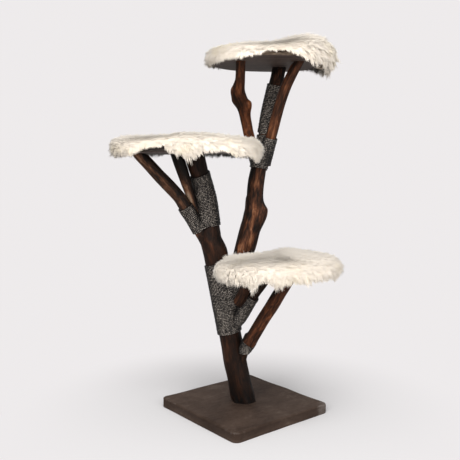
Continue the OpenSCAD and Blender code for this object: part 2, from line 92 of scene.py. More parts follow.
class Graph:
    def __init__(self, tree):
        self.tree = tree

    def link(self, value, place):
        self.tree.links.new(value.socket, place)

    def node(self, kind, settings=None, inputs=(), output=0):
        made = self.tree.nodes.new(kind)
        for key, value in (settings or {}).items():
            if key == "stops":
                stops = made.color_ramp.elements
                while len(stops) < len(value):
                    stops.new(0.5)
                for stop, (place, colour) in zip(stops, value):
                    stop.position, stop.color = place, (*colour, 1)
            else:
                setattr(made, key, value)
        named = inputs.items() if isinstance(inputs, dict) else enumerate(inputs)
        for key, value in named:
            if isinstance(value, Socket):
                self.link(value, made.inputs[key])
            elif value is not None:
                made.inputs[key].default_value = value
        return Socket(self, made.outputs[output])

    def vector(self, operation, *inputs, output=0):
        return self.node("ShaderNodeVectorMath", {"operation": operation}, inputs, output)

    def xyz(self, *parts):
        return self.node("ShaderNodeCombineXYZ", {}, parts)

    def mix(self, share, first, second):
        first, second = (c if isinstance(c, Socket) else (*c, 1) for c in (first, second))
        return self.node("ShaderNodeMix", {"data_type": "RGBA"}, {0: share, 6: first, 7: second}, 2)

    def stored(self, name, kind="FLOAT_VECTOR"):
        return self.node("GeometryNodeInputNamedAttribute", {"data_type": kind}, {"Name": name})

    def aimed(self, axis, way, rotation=None):
        return self.node("FunctionNodeAlignRotationToVector", {
            "axis": axis, "pivot_axis": "Z" if rotation else "AUTO"}, {"Rotation": rotation, "Vector": way})

    def strewn(self, spots, source, turn, size):
        source = self.node("GeometryNodeObjectInfo", {}, {"Object": source}, "Geometry")
        return self.node("GeometryNodeInstanceOnPoints", {}, {
            "Points": spots, "Instance": source, "Rotation": turn, "Scale": size})


class Finish(Graph):
    def __init__(self, name, **fixed):
        self.material = bpy.data.materials.new(name)
        self.material.use_nodes = True
        super().__init__(self.material.node_tree)
        self.shader = self.tree.nodes["Principled BSDF"]
        for key, value in fixed.items():
            self.feed(key.replace("_", " "), value)

    def feed(self, name, value):
        if isinstance(value, Socket):
            self.link(value, self.shader.inputs[name])
        else:
            self.shader.inputs[name].default_value = value

    def attribute(self, name, output="Fac"):
        return self.node("ShaderNodeAttribute", {"attribute_name": name}, output=output)

    def place(self):
        return self.node("ShaderNodeTexCoord", output="Object")

    def turned(self, vector, angle):
        return self.node("ShaderNodeMapping", {}, {"Vector": vector, "Rotation": (0, 0, angle)})

    def stretch(self, vector, scale):
        return self.vector("MULTIPLY", vector, scale if isinstance(scale, tuple) else (scale,) * 3)

    def part(self, vector, axis):
        return self.node("ShaderNodeSeparateXYZ", {}, (vector,), axis)

    def noise(self, vector, scale=1, detail=3.0, roughness=0.5, warp=0.0):
        return self.node("ShaderNodeTexNoise", {}, {
            "Vector": self.stretch(vector, scale), "Scale": 1, "Detail": detail,
            "Roughness": roughness, "Distortion": warp})

    def cells(self, vector, scale):
        return self.node("ShaderNodeTexVoronoi", {}, {
            "Vector": self.stretch(vector, scale), "Scale": 1}, "Distance")

    def between(self, value, low, high):
        return self.node("ShaderNodeMapRange", {"interpolation_type": "SMOOTHSTEP"}, {
            "Value": value, "From Min": low, "From Max": high})

    def ramp(self, value, stops):
        return self.node("ShaderNodeValToRGB", {"stops": stops}, (value,), "Color")

    def done(self, colour, rough=None, height=None, strength=0, distance=0):
        self.feed("Base Color", colour)
        if rough:
            self.feed("Roughness", rough)
        if height:
            self.feed("Normal", self.node("ShaderNodeBump", {}, {
                "Height": height, "Strength": strength, "Distance": distance}, "Normal"))
        return self.material


# Values are stored on the piece's points under their own names
def newPiece(name, points, faces, material=None, edges=(), smooth=True, **values):
    mesh = bpy.data.meshes.new(name)
    mesh.from_pydata(np.asarray(points, float).tolist(), edges, faces)
    mesh.validate()
    if material:
        mesh.materials.append(material)
    if smooth:
        mesh.shade_smooth()
    piece = bpy.data.objects.new(name, mesh)
    scene.collection.objects.link(piece)
    for key, value in values.items():
        giveValues(piece, key, value)
    return piece


def giveValues(piece, name, values):
    values = np.asarray(values, np.float32)
    kind, field = ("FLOAT", "value") if values.ndim == 1 else ("FLOAT_VECTOR", "vector")
    layer = piece.data.attributes.new(name, kind, "POINT")
    layer.data.foreach_set(field, values.ravel())


studio = dict(floor=(0.765, 0.753, 0.757), wall=(0.855, 0.83, 0.835), size=60, fade=(0.15, 1.0),
              key=127, keySize=2.2, keyPlace=(-4.1, -2.1, 2.75),
              fill=80, fillSize=3.0, fillPlace=(-0.3, -4.4, 1.7),
              over=104, overSize=1.9, overPlace=(-1.5, -2.0, 3.75),
              sky=0.27, skyColour=(1, 0.985, 0.97), aim=(0, 0, 0.8))


def makeStudio():
    finish = Finish("paleFloor", Roughness=0.8, Base_Color=(*studio["floor"], 1))
    finish.feed("Specular IOR Level", 0.0)
    # far from the tree the floor fades into the background, so no horizon shows
    away = finish.vector("LENGTH", finish.place(), output="Value")
    seen = finish.node("ShaderNodeLightPath", output="Is Camera Ray")
    glow = finish.node("ShaderNodeEmission", {}, {"Color": (*studio["wall"], 1), "Strength": 1})
    lit = Socket(finish, finish.shader.outputs[0])
    both = finish.node("ShaderNodeMixShader", {}, (
        finish.between(away, *studio["fade"]) * seen, lit, glow))
    finish.link(both, finish.tree.nodes["Material Output"].inputs["Surface"])
    half = studio["size"] / 2
    corners = [(x * half, y * half, 0) for x, y in ((-1, -1), (1, -1), (1, 1), (-1, 1))]
    floor = newPiece("floor", corners, [(0, 1, 2, 3)], finish.material, smooth=False)

    world = bpy.data.worlds.new("studio")
    world.use_nodes = True
    scene.world = world
    graph = Graph(world.node_tree)
    back = world.node_tree.nodes["Background"]
    rays = graph.node("ShaderNodeLightPath", output="Is Camera Ray")
    seen = rays.math("MAXIMUM", rays.out("Is Glossy Ray"))
    seen = seen.math("MAXIMUM", rays.out("Is Transmission Ray"))
    graph.link(graph.mix(seen, studio["skyColour"], studio["wall"]), back.inputs["Color"])
    graph.link(seen * (1 - studio["sky"]) + studio["sky"], back.inputs["Strength"])

    for name in ("key", "fill", "over"):
        lamp = bpy.data.objects.new(name, bpy.data.lights.new(name, "AREA"))
        lamp.data.energy = studio[name]
        lamp.data.size = studio[name + "Size"]
        lamp.location = studio[name + "Place"]
        lamp.rotation_euler = (Vector(studio["aim"]) - lamp.location).to_track_quat("-Z", "Y").to_euler()
        scene.collection.objects.link(lamp)


makeStudio()
scene.view_settings.view_transform = "Standard"
print("studio made")


def readValues(items, field, width=1, kind=np.float32):
    found = np.empty(len(items) * width, kind)
    items.foreach_get(field, found)
    return found.reshape(-1, width)


# Bakes a modifier into the piece's mesh
def applied(piece, modifier):
    bpy.context.view_layer.update()
    held = bpy.context.evaluated_depsgraph_get()
    old = piece.data
    mesh = bpy.data.meshes.new_from_object(piece.evaluated_get(held), depsgraph=held)
    piece.modifiers.remove(modifier)
    piece.data = mesh
    bpy.data.meshes.remove(old)


def cadShape(name):
    shape = bmesh.new()
    shape.from_mesh(nodes[name].data)
    bmesh.ops.remove_doubles(shape, verts=shape.verts, dist=2e-6)
    bmesh.ops.triangulate(shape, faces=shape.faces)
    points = np.array([v.co for v in shape.verts])
    triangles = np.array([[v.index for v in f.verts] for f in shape.faces])
    tree = BVHTree.FromBMesh(shape)
    shape.free()
    return points, triangles, tree


# Quads between rings of points
def gridFaces(rows, columns):
    i = np.arange(rows - 1)[:, None] * columns
    j = np.arange(columns)[None, :]
    k = (j + 1) % columns
    return np.stack([i + j, i + k, i + k + columns, i + j + columns], -1).reshape(-1, 4).tolist()


# The same with the first and last ring closed
def closedRings(rows, columns):
    last = (rows - 1) * columns
    return gridFaces(rows, columns) + [list(range(columns))[::-1], list(range(last, last + columns))]


# A smooth curve through four evenly spaced values, at share t from b to c
def through(a, b, c, d, t):
    return 0.5 * (2 * b + (c - a) * t + (2 * a - 5 * b + 4 * c - d) * t ** 2
                  + (3 * b - a - 3 * c + d) * t ** 3)


# A smooth random line
def drift(count, step, seed):
    knots = np.random.default_rng(seed).normal(size=int(count / step) + 4)
    at = np.linspace(1, len(knots) - 3, count)
    i = at.astype(int)
    return through(*(knots[i + k] for k in (-1, 0, 1, 2)), at - i)


# The same round a ring, calm where its ends meet
def ringDrift(count, step, seed, calm):
    fade = np.clip(np.minimum(np.arange(count), count - np.arange(count)) / calm, 0, 1)
    return drift(count + 1, step, seed)[:-1] * fade


# Rows smoothed by a bell curve that is reach rows wide
def smoothed(rows, reach):
    width = max(1, int(reach * 3))
    weights = np.exp(-0.5 * (np.arange(-width, width + 1) / reach) ** 2)
    padded = np.concatenate([rows[:1].repeat(width, 0), rows, rows[-1:].repeat(width, 0)])
    kept = np.zeros_like(rows)
    for k, weight in enumerate(weights):
        kept = kept + weight * padded[k:k + len(rows)]
    return kept / weights.sum()


def unit(v):
    return v / np.linalg.norm(v, axis=-1, keepdims=True)


def hump(value, middle, reach):
    return np.exp(-((value - middle) / reach) ** 2)


def evenAngles(count):
    return np.arange(count) * 2 * math.pi / count


# Directions at angles that run from across towards up
def turnedTo(angles, across, up):
    return np.cos(angles)[..., None] * across + np.sin(angles)[..., None] * up


# The way in which points lie stretched out, upwards
def longAxis(points):
    axis = np.linalg.svd(points - points.mean(0), full_matrices=False)[2][0]
    return axis * np.sign(axis[2])


def sumBy(owner, values, count):
    return np.stack([np.bincount(owner, values[:, k], count) for k in range(3)], 1)


# For each point, which of the centres is nearest
def nearest(centres, points):
    lookup = KDTree(len(centres))
    for i, centre in enumerate(centres):
        lookup.insert(Vector(centre), i)
    lookup.balance()
    return np.array([lookup.find(Vector(p))[1] for p in points])


# Where a level plane across the axis cuts a CAD node: the cut's centre and its area
def section(points, triangles, axis, level):
    above = points @ axis - level
    cut = triangles[(above[triangles] >= 0).any(1) & (above[triangles] < 0).any(1)]
    ends = []
    for rising in (True, False):
        at = np.zeros((len(cut), 3))
        for k in range(3):
            a, b = cut[:, k], cut[:, (k + 1) % 3]
            crosses = ((above[a] < 0) != (above[b] < 0)) & ((above[a] < 0) == rising)
            a, b = a[crosses], b[crosses]
            share = above[a] / (above[a] - above[b])
            at[crosses] = points[a] + share[:, None] * (points[b] - points[a])
        ends.append(at)
    p, q = ends
    o = (p + q).mean(0) / 2
    area = np.cross(p - o, q - o) @ axis / 2
    return ((p + q + o) / 3 * area[:, None]).sum(0) / area.sum(), abs(area.sum())


# rays, step and every are how finely a limb is measured, runOn how far it goes on inside another,
# core and sound how the whole part is told from cuts, ends each cap's inset and how proud
wood = dict(rays=48, step=0.0035, every=1, runOn=0.03, levels=62, core=(15, 50), sound=0.9,
            reach=2.2, facing=0.35, odd=0.75, even=2.4, lobes=7, grow=1.012,
            waves=(3, 5, 8, 13, 19, 27), wander=14, turning=30, twist=2.2, crack=0.22, high=2.6,
            ends=((0.03, 0.0012), (0.10, 0.0020), (0.35, 0.0021), (0.7, 0.0021), (0.93, 0.0021)))


# Each limb is measured on its CAD node, and rebuilt as round grained wood
class Limb:
    rays = wood["rays"]

    def __init__(self, name, runOn):
        step = wood["step"]
        points, triangles, tree = cadShape(name)
        axis = longAxis(points)
        low, high = (points @ axis).min(), (points @ axis).max()
        levels = np.linspace(low, high, wood["levels"])[1:-1]
        centres, areas = zip(*(section(points, triangles, axis, z) for z in levels))
        centres, radii = np.array(centres), np.sqrt(np.array(areas) / math.pi)
        core = slice(*wood["core"])
        trend = np.polyval(np.polyfit(levels[core], radii[core], 1), levels)
        sound = radii > wood["sound"] * trend
        first, last = np.flatnonzero(sound[:30]).min() + 1, 30 + np.flatnonzero(sound[30:]).max() - 1
        centres = smoothed(centres[first:last + 1], 1.6)
        # the centre line runs on straight past the part that is whole
        ends = [unit(centres[0] - centres[5]), unit(centres[-1] - centres[-6])]
        reach = [levels[first] - low + runOn[0], high - levels[last] + runOn[1]]
        for end, side in ((0, 0), (1, -1)):
            extra = centres[side] + ends[end] * np.linspace(0.01, reach[end], 12)[:, None]
            centres = np.concatenate([extra[::-1], centres] if end == 0 else [centres, extra])
        gaps = np.linalg.norm(np.diff(centres, axis=0), axis=1)
        along = np.concatenate([[0], np.cumsum(gaps)])
        count = int(along[-1] / step) + 1
        self.s = np.linspace(0, along[-1], count)
        line = np.stack([np.interp(self.s, along, centres[:, k]) for k in range(3)], 1)
        self.centre = smoothed(line, 0.012 / step)
        self.heading = unit(np.gradient(self.centre, axis=0))
        self.u = unit(np.cross(spreadY, self.heading))
        self.w = np.cross(self.heading, self.u)
        self.sound = (np.interp(reach[0] - runOn[0], along, along), along[-1] - reach[1] + runOn[1])
        self.radius = self.measure(tree, wood["reach"] * np.median(radii[first:last + 1]))

    # How far out the wood is all round, without cuts and whatever else stands there
    def measure(self, tree, reach):
        angles = evenAngles(self.rays)
        rows = np.arange(0, len(self.s), wood["every"])
        found = np.full((len(rows), self.rays), np.nan)
        for n, i in enumerate(rows):
            origin = Vector(self.centre[i])
            for k, a in enumerate(angles):
                out = Vector(self.u[i] * math.cos(a) + self.w[i] * math.sin(a))
                hit = tree.ray_cast(origin + out * reach, -out, reach)
                if hit[0] is not None and hit[1].dot(out) > wood["facing"]:
                    found[n, k] = reach - hit[3]
        inside = (self.s[rows] > self.sound[0]) & (self.s[rows] < self.sound[1])
        found[~inside] = np.nan
        level = np.nanmedian(found, 1)
        level = np.interp(np.arange(len(rows)), np.flatnonzero(~np.isnan(level)), level[~np.isnan(level)])
        found[np.abs(found / level[:, None] - 1) > wood["odd"]] = np.nan
        filled = np.empty_like(found)
        for k in range(self.rays):
            good = np.flatnonzero(~np.isnan(found[:, k]))
            filled[:, k] = np.interp(np.arange(len(rows)), good, found[good, k]) if len(good) else level
        padded = np.concatenate([filled[:1]] * 3 + [filled] + [filled[-1:]] * 3)
        filled = np.median([padded[k:k + len(rows)] for k in range(7)], axis=0)
        waves = np.fft.rfft(smoothed(filled, wood["even"]), axis=1)
        waves[:, wood["lobes"]:] = 0
        even = np.fft.irfft(waves, self.rays, axis=1) * wood["grow"]
        return np.stack([np.interp(self.s, self.s[rows], even[:, k]) for k in range(self.rays)], 1)

    def around(self, count):
        angles = evenAngles(count)
        at = angles / (2 * math.pi) * self.rays
        i = at.astype(int)
        t = (at - i)[None, :]
        wide = np.take(self.radius, np.arange(-1, self.rays + 3), axis=1, mode="wrap")
        return angles, through(*(wide[:, i + k] for k in range(4)), t)

    def point(self, rows, angles, radii):
        return self.centre[rows] + radii[..., None] * turnedTo(angles, self.u[rows], self.w[rows])


# ends says how each end is closed: cut level, sawn across or hidden inside another limb.
# tone is how light the wood is, streak how strongly its grain stands out, red how warm it is.
# knots: height, angle round the limb, how proud, how tall, how wide.
# Where the wood is paler or darker: patches have a height and how tall, a side (-1 left to 1
# right) and how wide, and how much; ramps start at a height and run up; edges lie beyond a
# side, right (1) or left (-1), up to a most, and paint shade on the limb's sides; back is how
# much painted shade darkens the side that faces away from the front.
allRound = 1e6
limbBase = dict(ends=("inside", "level"), depth=0.0008, sides=80, knots=(), patches=(), ramps=(),
                edges=(), back=0, strip=())
limbLooks = {
    "trunk": dict(
        sides=120, ends=("level", "level"), tone=0.375, streak=0.48, red=0.8, seed=3,
        patches=[(0.27, 0.06, -0.35, 0.5, 0.10)], ramps=[(0.16, -0.12, 0, allRound, -0.16)],
        edges=[(1, 0.55, 1, -0.12)]),
    "second_stem": dict(
        sides=112, depth=0.0011, tone=0.555, streak=1.35, red=0.6, seed=11,
        knots=[(0.845, -12, 0.009, 0.040, 36), (0.885, 190, 0.003, 0.03, 40)],
        patches=[(0.947, 0.034, 0.2, 0.4, 0.17), (0.838, 0.034, 0.05, 0.3, 0.15),
            (0.705, 0.045, -0.45, 0.4, 0.15), (0.905, 0.016, 0.32, 0.24, -0.24),
            (0.768, 0.016, 0.40, 0.24, -0.30), (0.823, 0.016, -0.60, 0.24, -0.24)],
        ramps=[(1.28, 0.08, 0, allRound, -0.10)], edges=[(1, 0.35, 1, -0.34), (-1, 0.25, 1, -0.34)],
        back=0.05, strip=(3.60, 4.6, 0.15, 0.75, 0.065, 0.30)),
    "left_outer_strut": dict(
        tone=0.525, streak=1.4, red=0.0, seed=5, ramps=[(0.94, 0.08, -0.45, 0.4, 0.17)],
        edges=[(1, 0.05, 0.6, -0.42)]),
    "left_inner_strut": dict(
        sides=72, depth=0.0006, tone=0.48, streak=1.0, red=0.0, seed=21,
        patches=[(0.895, 0.05, -0.3, 0.55, 0.46)], ramps=[(0.96, 0.05, 0, allRound, -0.24)],
        edges=[(1, 0.2, 0.6, -0.30)]),
    "top_left_branch": dict(
        tone=0.57, streak=0.85, red=1.0, seed=31,
        knots=[(1.315, 185, 0.008, 0.030, 42), (1.283, 178, 0.007, 0.035, 40),
            (1.262, -20, 0.010, 0.024, 40)],
        patches=[(1.215, 0.022, 0, 0.3, 0.16), (1.17, 0.05, 0, allRound, 0.05),
            (1.275, 0.04, -0.8, 0.5, -0.26)]),
    "top_right_branch": dict(
        sides=72, tone=0.56, streak=0.9, red=0.7, seed=41, patches=[(1.12, 0.055, 0.1, 0.4, 0.17)],
        edges=[(1, 0.4, 1, -0.08)]),
    "stump": dict(
        sides=72, ends=("inside", "sawn"), tone=0.42, streak=0.7, red=0.3, seed=51, back=0.04),
    "low_long_strut": dict(
        ends=("sawn", "level"), depth=0.0009, tone=0.57, streak=1.0, red=0.95, seed=61,
        patches=[(0.45, 0.06, 0.25, 0.5, 0.06)], edges=[(-1, 0.45, 1, -0.32)]),
    "low_short_strut": dict(
        sides=64, ends=("sawn", "level"), tone=0.47, streak=0.9, red=0.5, seed=71, back=0.04),
    "low_branch": dict(
        sides=56, depth=0.0007, tone=0.42, streak=0.7, red=0.3, seed=81, back=0.04),
}
limbs = {}


def woodFinish(name, look):
    finish = Finish(name, Specular_IOR_Level=0.11)
    grain = finish.attribute("grain", "Vector")
    wear = finish.attribute("wear")
    sawn = finish.attribute("sawn")
    lift = finish.attribute("lift")
    shifted = finish.vector("ADD", grain, (look["seed"] * 1.7, 0, 0))
    patches = finish.noise(shifted, (42, 42, 15), 4, 0.6, 0.7)
    streaks = finish.noise(shifted, (210, 210, 12), 5, 0.6, 0.8)
    threads = finish.noise(shifted, (760, 760, 34), 3, 0.6)
    size = look["streak"]
    tone = patches * (0.95 * size) + streaks * (0.55 * size) + threads * 0.24 + wear * 0.14
    # lift holds the paler and darker patches and also the painted shade on the limb's sides and back
    tone = tone + lift + (look["tone"] - 0.75 * size - 0.19)
    red = look["red"]

    def warm(colour):
        r, g, b = colour
        return r * (1.06 + 0.22 * red), g * (0.95 - 0.12 * red), b * (0.86 - 0.30 * red)

    colour = finish.ramp(tone, [
        (0.18, (0.0034, 0.0026, 0.0022)), (0.38, warm((0.0108, 0.0066, 0.0048))),
        (0.54, warm((0.031, 0.0162, 0.0102))), (0.70, warm((0.080, 0.039, 0.0225))),
        (0.84, warm((0.168, 0.094, 0.057))), (1.0, (0.31, 0.212, 0.145))])
    # sawn ends show growth rings
    radial = finish.vector("LENGTH", finish.stretch(grain, (1, 1, 0)), output="Value")
    rings = finish.noise(finish.xyz(radial * 420 + patches * 3, 0, 0), detail=2)
    endGrain = finish.mix(rings, (0.12, 0.068, 0.038), (0.035, 0.02, 0.0125))
    return finish.done(finish.mix(sawn, colour, endGrain), 0.66 - wear * 0.14,
                       streaks * 0.6 + threads * 0.5, 0.45, 0.0018)


# Cuts a piece off level at a height and closes it there
def cutLevel(piece, z, keepAbove):
    shape = bmesh.new()
    shape.from_mesh(piece.data)
    everything = shape.verts[:] + shape.edges[:] + shape.faces[:]
    made = bmesh.ops.bisect_plane(
        shape, geom=everything, plane_co=(0, 0, z), plane_no=(0, 0, 1), dist=1e-6,
        clear_inner=keepAbove, clear_outer=not keepAbove)
    rim = [e for e in made["geom_cut"] if isinstance(e, bmesh.types.BMEdge) and e.is_boundary]
    bmesh.ops.holes_fill(shape, edges=rim, sides=0)
    shape.to_mesh(piece.data)
    shape.free()


def growLimb(name, look):
    limb = limbs[name] = Limb(name, [wood["runOn"] * (end != "sawn") for end in look["ends"]])
    sides, seed = look["sides"], look["seed"]
    angles, radii = limb.around(sides)
    rows = len(limb.s)
    # flutes, cracks and a slow waviness, all running with the grain
    relief = np.zeros_like(radii)
    for n, wave in enumerate(wood["waves"]):
        size = drift(rows, wood["wander"], seed + n)
        turn = drift(rows, wood["turning"], seed + 50 + n) * wood["twist"]
        relief += np.cos(wave * angles[None, :] + turn[:, None]) * size[:, None] / (1 + 0.12 * wave)
    cracks = hump(relief, 0, wood["crack"])
    z = limb.centre[:, 2:]
    for level, turn, height, tall, wide in look["knots"]:
        # each knot rises steeply from above and runs out slowly below
        off = z - level
        off = np.where(off > 0, off / (0.35 * tall), off / tall)
        way = (np.degrees(angles)[None, :] - turn + 180) % 360 - 180
        radii = radii + height * np.exp(-off ** 2 - (way / wide) ** 2)
    high = np.clip(relief / wood["high"], -1, 1)
    shaped = radii + look["depth"] * (high * 1.1 - cracks * 0.55)
    grid = limb.point(np.arange(rows)[:, None], np.tile(angles, (rows, 1)), shaped)
    z = grid[..., 2]
    wear = np.clip(0.5 + 0.5 * high - 0.7 * cracks, 0, 1)
    wear = wear + np.clip((shaped - smoothed(shaped, 16)) / 0.004, -0.2, 0.9)
    # lift holds the paler and darker patches and strip, and painted shade on the limb's sides and back
    lift = z * 0 + toneAndPaintedShade(look, z, np.cos(angles)[None, :], -np.sin(angles)[None, :])
    spin = np.stack([np.cos(angles), np.sin(angles)], -1)
    grain = np.concatenate([shaped[..., None] * spin[None], np.tile(
        limb.s[:, None, None], (1, sides, 1))], -1)
    layers = [(grid, grain, wear, lift, np.zeros_like(wear))]
    # the two ends, each rounded over and closed
    for end, row in ((0, 0), (1, -1)):
        caps = []
        for inset, out in wood["ends"]:
            ring = limb.centre[row] + (grid[row] - limb.centre[row]) * (1 - inset)
            ring = ring + limb.heading[row] * out * (1 if end else -1)
            flat = grain[row] * [1 - inset, 1 - inset, 1]
            caps.append((ring, flat, wear[row], lift[row], np.ones(sides) * (inset > 0.05)))
        stack = [np.stack(c) for c in zip(*caps)]
        if end:
            layers.append(tuple(stack))
        else:
            layers.insert(0, tuple(c[::-1] for c in stack))
    whole = [np.concatenate([layer[k] for layer in layers]) for k in range(5)]
    faces = closedRings(len(whole[0]), sides)
    values = [w.reshape(-1, *w.shape[2:]) for w in whole]
    piece = newPiece(name + "_wood", values[0], faces, woodFinish(name + "Wood", look),
                     grain=values[1], wear=values[2], lift=values[3], sawn=values[4])
    low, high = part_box(name)
    if look["ends"][0] == "level":
        cutLevel(piece, low.z - 0.003, True)
    if look["ends"][1] == "level":
        cutLevel(piece, high.z + 0.002, False)
    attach(piece, "root")
    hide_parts(name)
    "peeled_branch" if name == "left_inner_strut" else "branch_wood"


# right and front run from -1 to 1 around the limb
def toneAndPaintedShade(look, z, right, front):
    # painted shade: the side that faces away from the front is darker by back
    lift = look["back"] * -np.clip(-front - 0.2, 0, 1)
    for height, tall, side, wide, size in look["patches"]:
        lift = lift + hump(z, height, tall) * hump(right, side, wide) * size
    for start, run, side, wide, size in look["ramps"]:
        lift = lift + np.clip((z - start) / run, 0, 1) * hump(right, side, wide) * size
    # painted shade: the limb is darker on its sides, beyond each edge
    for way, start, most, size in look["edges"]:
        lift = lift + np.clip(right * way - start, 0, most) * size
    if look["strip"]:
        # a worn strip that crosses the front
        start, slope, wide, height, tall, size = look["strip"]
        lift = lift + hump(right, start - z * slope, wide) * hump(z, height, tall) * np.clip(
            front + 0.4, 0, 1) * size
    return lift


for name, look in limbLooks.items():
    growLimb(name, {**limbBase, **look})
print("limbs grown")


def newGroup(name, **inputs):
    tree = bpy.data.node_groups.new(name, "GeometryNodeTree")
    tree.interface.new_socket("Geometry", in_out="INPUT", socket_type="NodeSocketGeometry")
    for key, kind in inputs.items():
        tree.interface.new_socket(key, in_out="INPUT", socket_type="NodeSocket" + kind)
    tree.interface.new_socket("Geometry", in_out="OUTPUT", socket_type="NodeSocketGeometry")
    graph = Graph(tree)
    given = graph.node("NodeGroupInput")
    return graph, given


def endGroup(graph, shape, finish):
    real = graph.node("GeometryNodeRealizeInstances", {}, (shape,))
    dressed = graph.node("GeometryNodeSetMaterial", {}, {"Geometry": real, "Material": finish})
    graph.link(dressed, graph.tree.nodes.new("NodeGroupOutput").inputs[0])
    return graph.tree


def runGroup(piece, tree, **values):
    modifier = piece.modifiers.new(tree.name, "NODES")
    modifier.node_group = tree
    for item in tree.interface.items_tree:
        if item.in_out == "INPUT" and item.name in values:
            modifier[item.identifier] = values[item.name]
    applied(piece, modifier)


def named(graph, shape, name, value, kind="FLOAT"):
    return graph.node("GeometryNodeStoreNamedAttribute", {"data_type": kind, "domain": "POINT"}, {
        "Geometry": shape, "Name": name, "Value": value})


# One hair of unit length and girth, whose tip leans by bend girths
def taperedHair(name, sides, rows, bend):
    points, tips = [], []
    for t in rows:
        width = 1 - 0.35 * t
        for k in range(sides):
            a = 2 * math.pi * k / sides
            points.append((width * math.cos(a) + bend * t * t, width * math.sin(a), t))
            tips.append(t)
    points.append((bend, 0, 1))
    tips.append(1)
    faces = gridFaces(len(rows), sides) + [list(range(sides))[::-1]]
    last = (len(rows) - 1) * sides
    faces += [[last + k, last + (k + 1) % sides, len(points) - 1] for k in range(sides)]
    return newPiece(name, points, faces, tip=tips)


# pitch is in thicknesses; piece is the length of one step along the line
rope = dict(thick=0.0065, pitch=0.98, piece=0.0043, sides=8, lay=0.017, strays=2600, stray=0.006,
            strayThick=0.00016, upright=0.55, postGap=0.02, clear=0.0005, wander=0.00022,
            unevenness=0.00028, tuck=1.3)
# the turns that dip and stand out over the foot of a strut
strutFoot = dict(rope="left_stem_rope", toward=-spreadX, dip=0.020, proud=0.016, reach=0.11,
                 lower=0.006)
windings = {
    "fork_rope": ["trunk", "second_stem"],
    "low_branch_rope": ["low_branch"],
    "stump_rope": ["stump"],
    "left_stem_rope": ["trunk"],
    "left_strut_rope": ["left_outer_strut"],
    "crown_rope": ["second_stem", "top_left_branch", "top_right_branch"],
    "post_rope": ["second_stem"],
}


def ropeGroup(fibre, finish):
    graph, given = newGroup("wound rope", Seed="Int")
    line = graph.node("GeometryNodeMeshToCurve", {}, (given.out("Geometry"),))
    run = graph.node("GeometryNodeSplineParameter", output="Length")
    line = named(graph, line, "run", run)
    circle = graph.node("GeometryNodeCurvePrimitiveCircle", {}, {
        "Resolution": rope["sides"], "Radius": rope["thick"] / 2})
    spin = graph.vector("NORMALIZE", graph.node("GeometryNodeInputPosition"))
    circle = named(graph, circle, "spin", spin, "FLOAT_VECTOR")
    tube = graph.node("GeometryNodeCurveToMesh", {}, {
        "Curve": line, "Profile Curve": circle, "Fill Caps": True})
    tube = graph.node("GeometryNodeSetShadeSmooth", {}, {"Geometry": tube})
    facing = graph.node("GeometryNodeInputNormal")
    crest = graph.vector("DOT_PRODUCT", facing, graph.stored("outward"), output="Value")
    tube = named(graph, tube, "crest", crest)
    spots = graph.node("GeometryNodeDistributePointsOnFaces", {}, {
        "Mesh": tube, "Density": rope["strays"], "Seed": given.out("Seed")})
    lean = graph.node("FunctionNodeRandomValue", {"data_type": "FLOAT_VECTOR"}, {
        "Min": (-1, -1, -1), "Max": (1, 1, 1), "Seed": given.out("Seed")})
    lean = graph.vector("ADD", graph.vector("MULTIPLY", spots.out("Normal"), (rope["upright"],) * 3), lean)
    turn = graph.aimed("Z", lean)
    strays = graph.strewn(spots, fibre, turn, (rope["strayThick"], rope["strayThick"], rope["stray"]))
    both = graph.tree.nodes.new("GeometryNodeJoinGeometry")
    graph.link(strays, both.inputs[0])
    graph.link(tube, both.inputs[0])
    return endGroup(graph, Socket(graph, both.outputs[0]), finish)


def ropeFinish():
    finish = Finish("charcoalRope", Specular_IOR_Level=0.28)
    spin = finish.attribute("spin", "Vector")
    run = finish.attribute("run")
    crest = finish.attribute("crest")
    angle = finish.part(spin, 1).math("ARCTAN2", finish.part(spin, 0))
    strand = (angle * 3 + run * (2 * math.pi / rope["lay"])).math("SINE")
    place = finish.place()
    fibres = finish.noise(finish.xyz(run * 330, angle * 1.6 + run * 110, 0), detail=4, roughness=0.7)
    glintSpeckle = finish.noise(place, 230, 3, 0.65)
    wide = finish.noise(place, 26, 2)
    lit = finish.between(crest, 0.15, 1.0)
    # the side of each wrap that faces the front is painted lighter and its sides darker: painted light and
    # shade
    frontLight = finish.between(finish.attribute("front"), -0.3, 0.95)
    tone = fibres * 2.3 + glintSpeckle * 2.6 + wide * 0.5 + strand * 0.16 + lit * 0.86 + frontLight * 0.95 - 3.88
    # the palest stop paints silvery glints where the fibres and speckle run high: painted highlights
    colour = finish.ramp(tone, [
        (0.22, (0.0042, 0.0035, 0.0031)), (0.45, (0.0165, 0.0134, 0.0116)),
        (0.64, (0.062, 0.0500, 0.0425)), (0.92, (0.37, 0.325, 0.28))])
    return finish.done(colour, 0.75 - fibres * 0.3, strand * 0.7 + fibres * 0.6, 0.9, 0.0011)


# How far along a limb its CAD rope runs
def stretchOf(limb, ropeNode):
    points = cadShape(ropeNode)[0]
    rows = nearest(limb.centre, points)
    away = points - limb.centre[rows]
    across = np.arctan2((away * limb.w[rows]).sum(1), (away * limb.u[rows]).sum(1))
    column = (across / (2 * math.pi) * limb.rays).round().astype(int) % limb.rays
    proud = np.linalg.norm(away, axis=1) - limb.radius[rows, column]
    outer = np.abs(proud - rope["thick"] - 0.0003) < 0.0014
    return np.percentile(limb.s[rows[outer]], [1, 99])


# A table's rows at places between them
def rowsAt(table, row):
    i = np.clip(row.astype(int), 0, len(table) - 2)
    part = (row - i)[:, None]
    return (1 - part) * table[i] + part * table[i + 1]


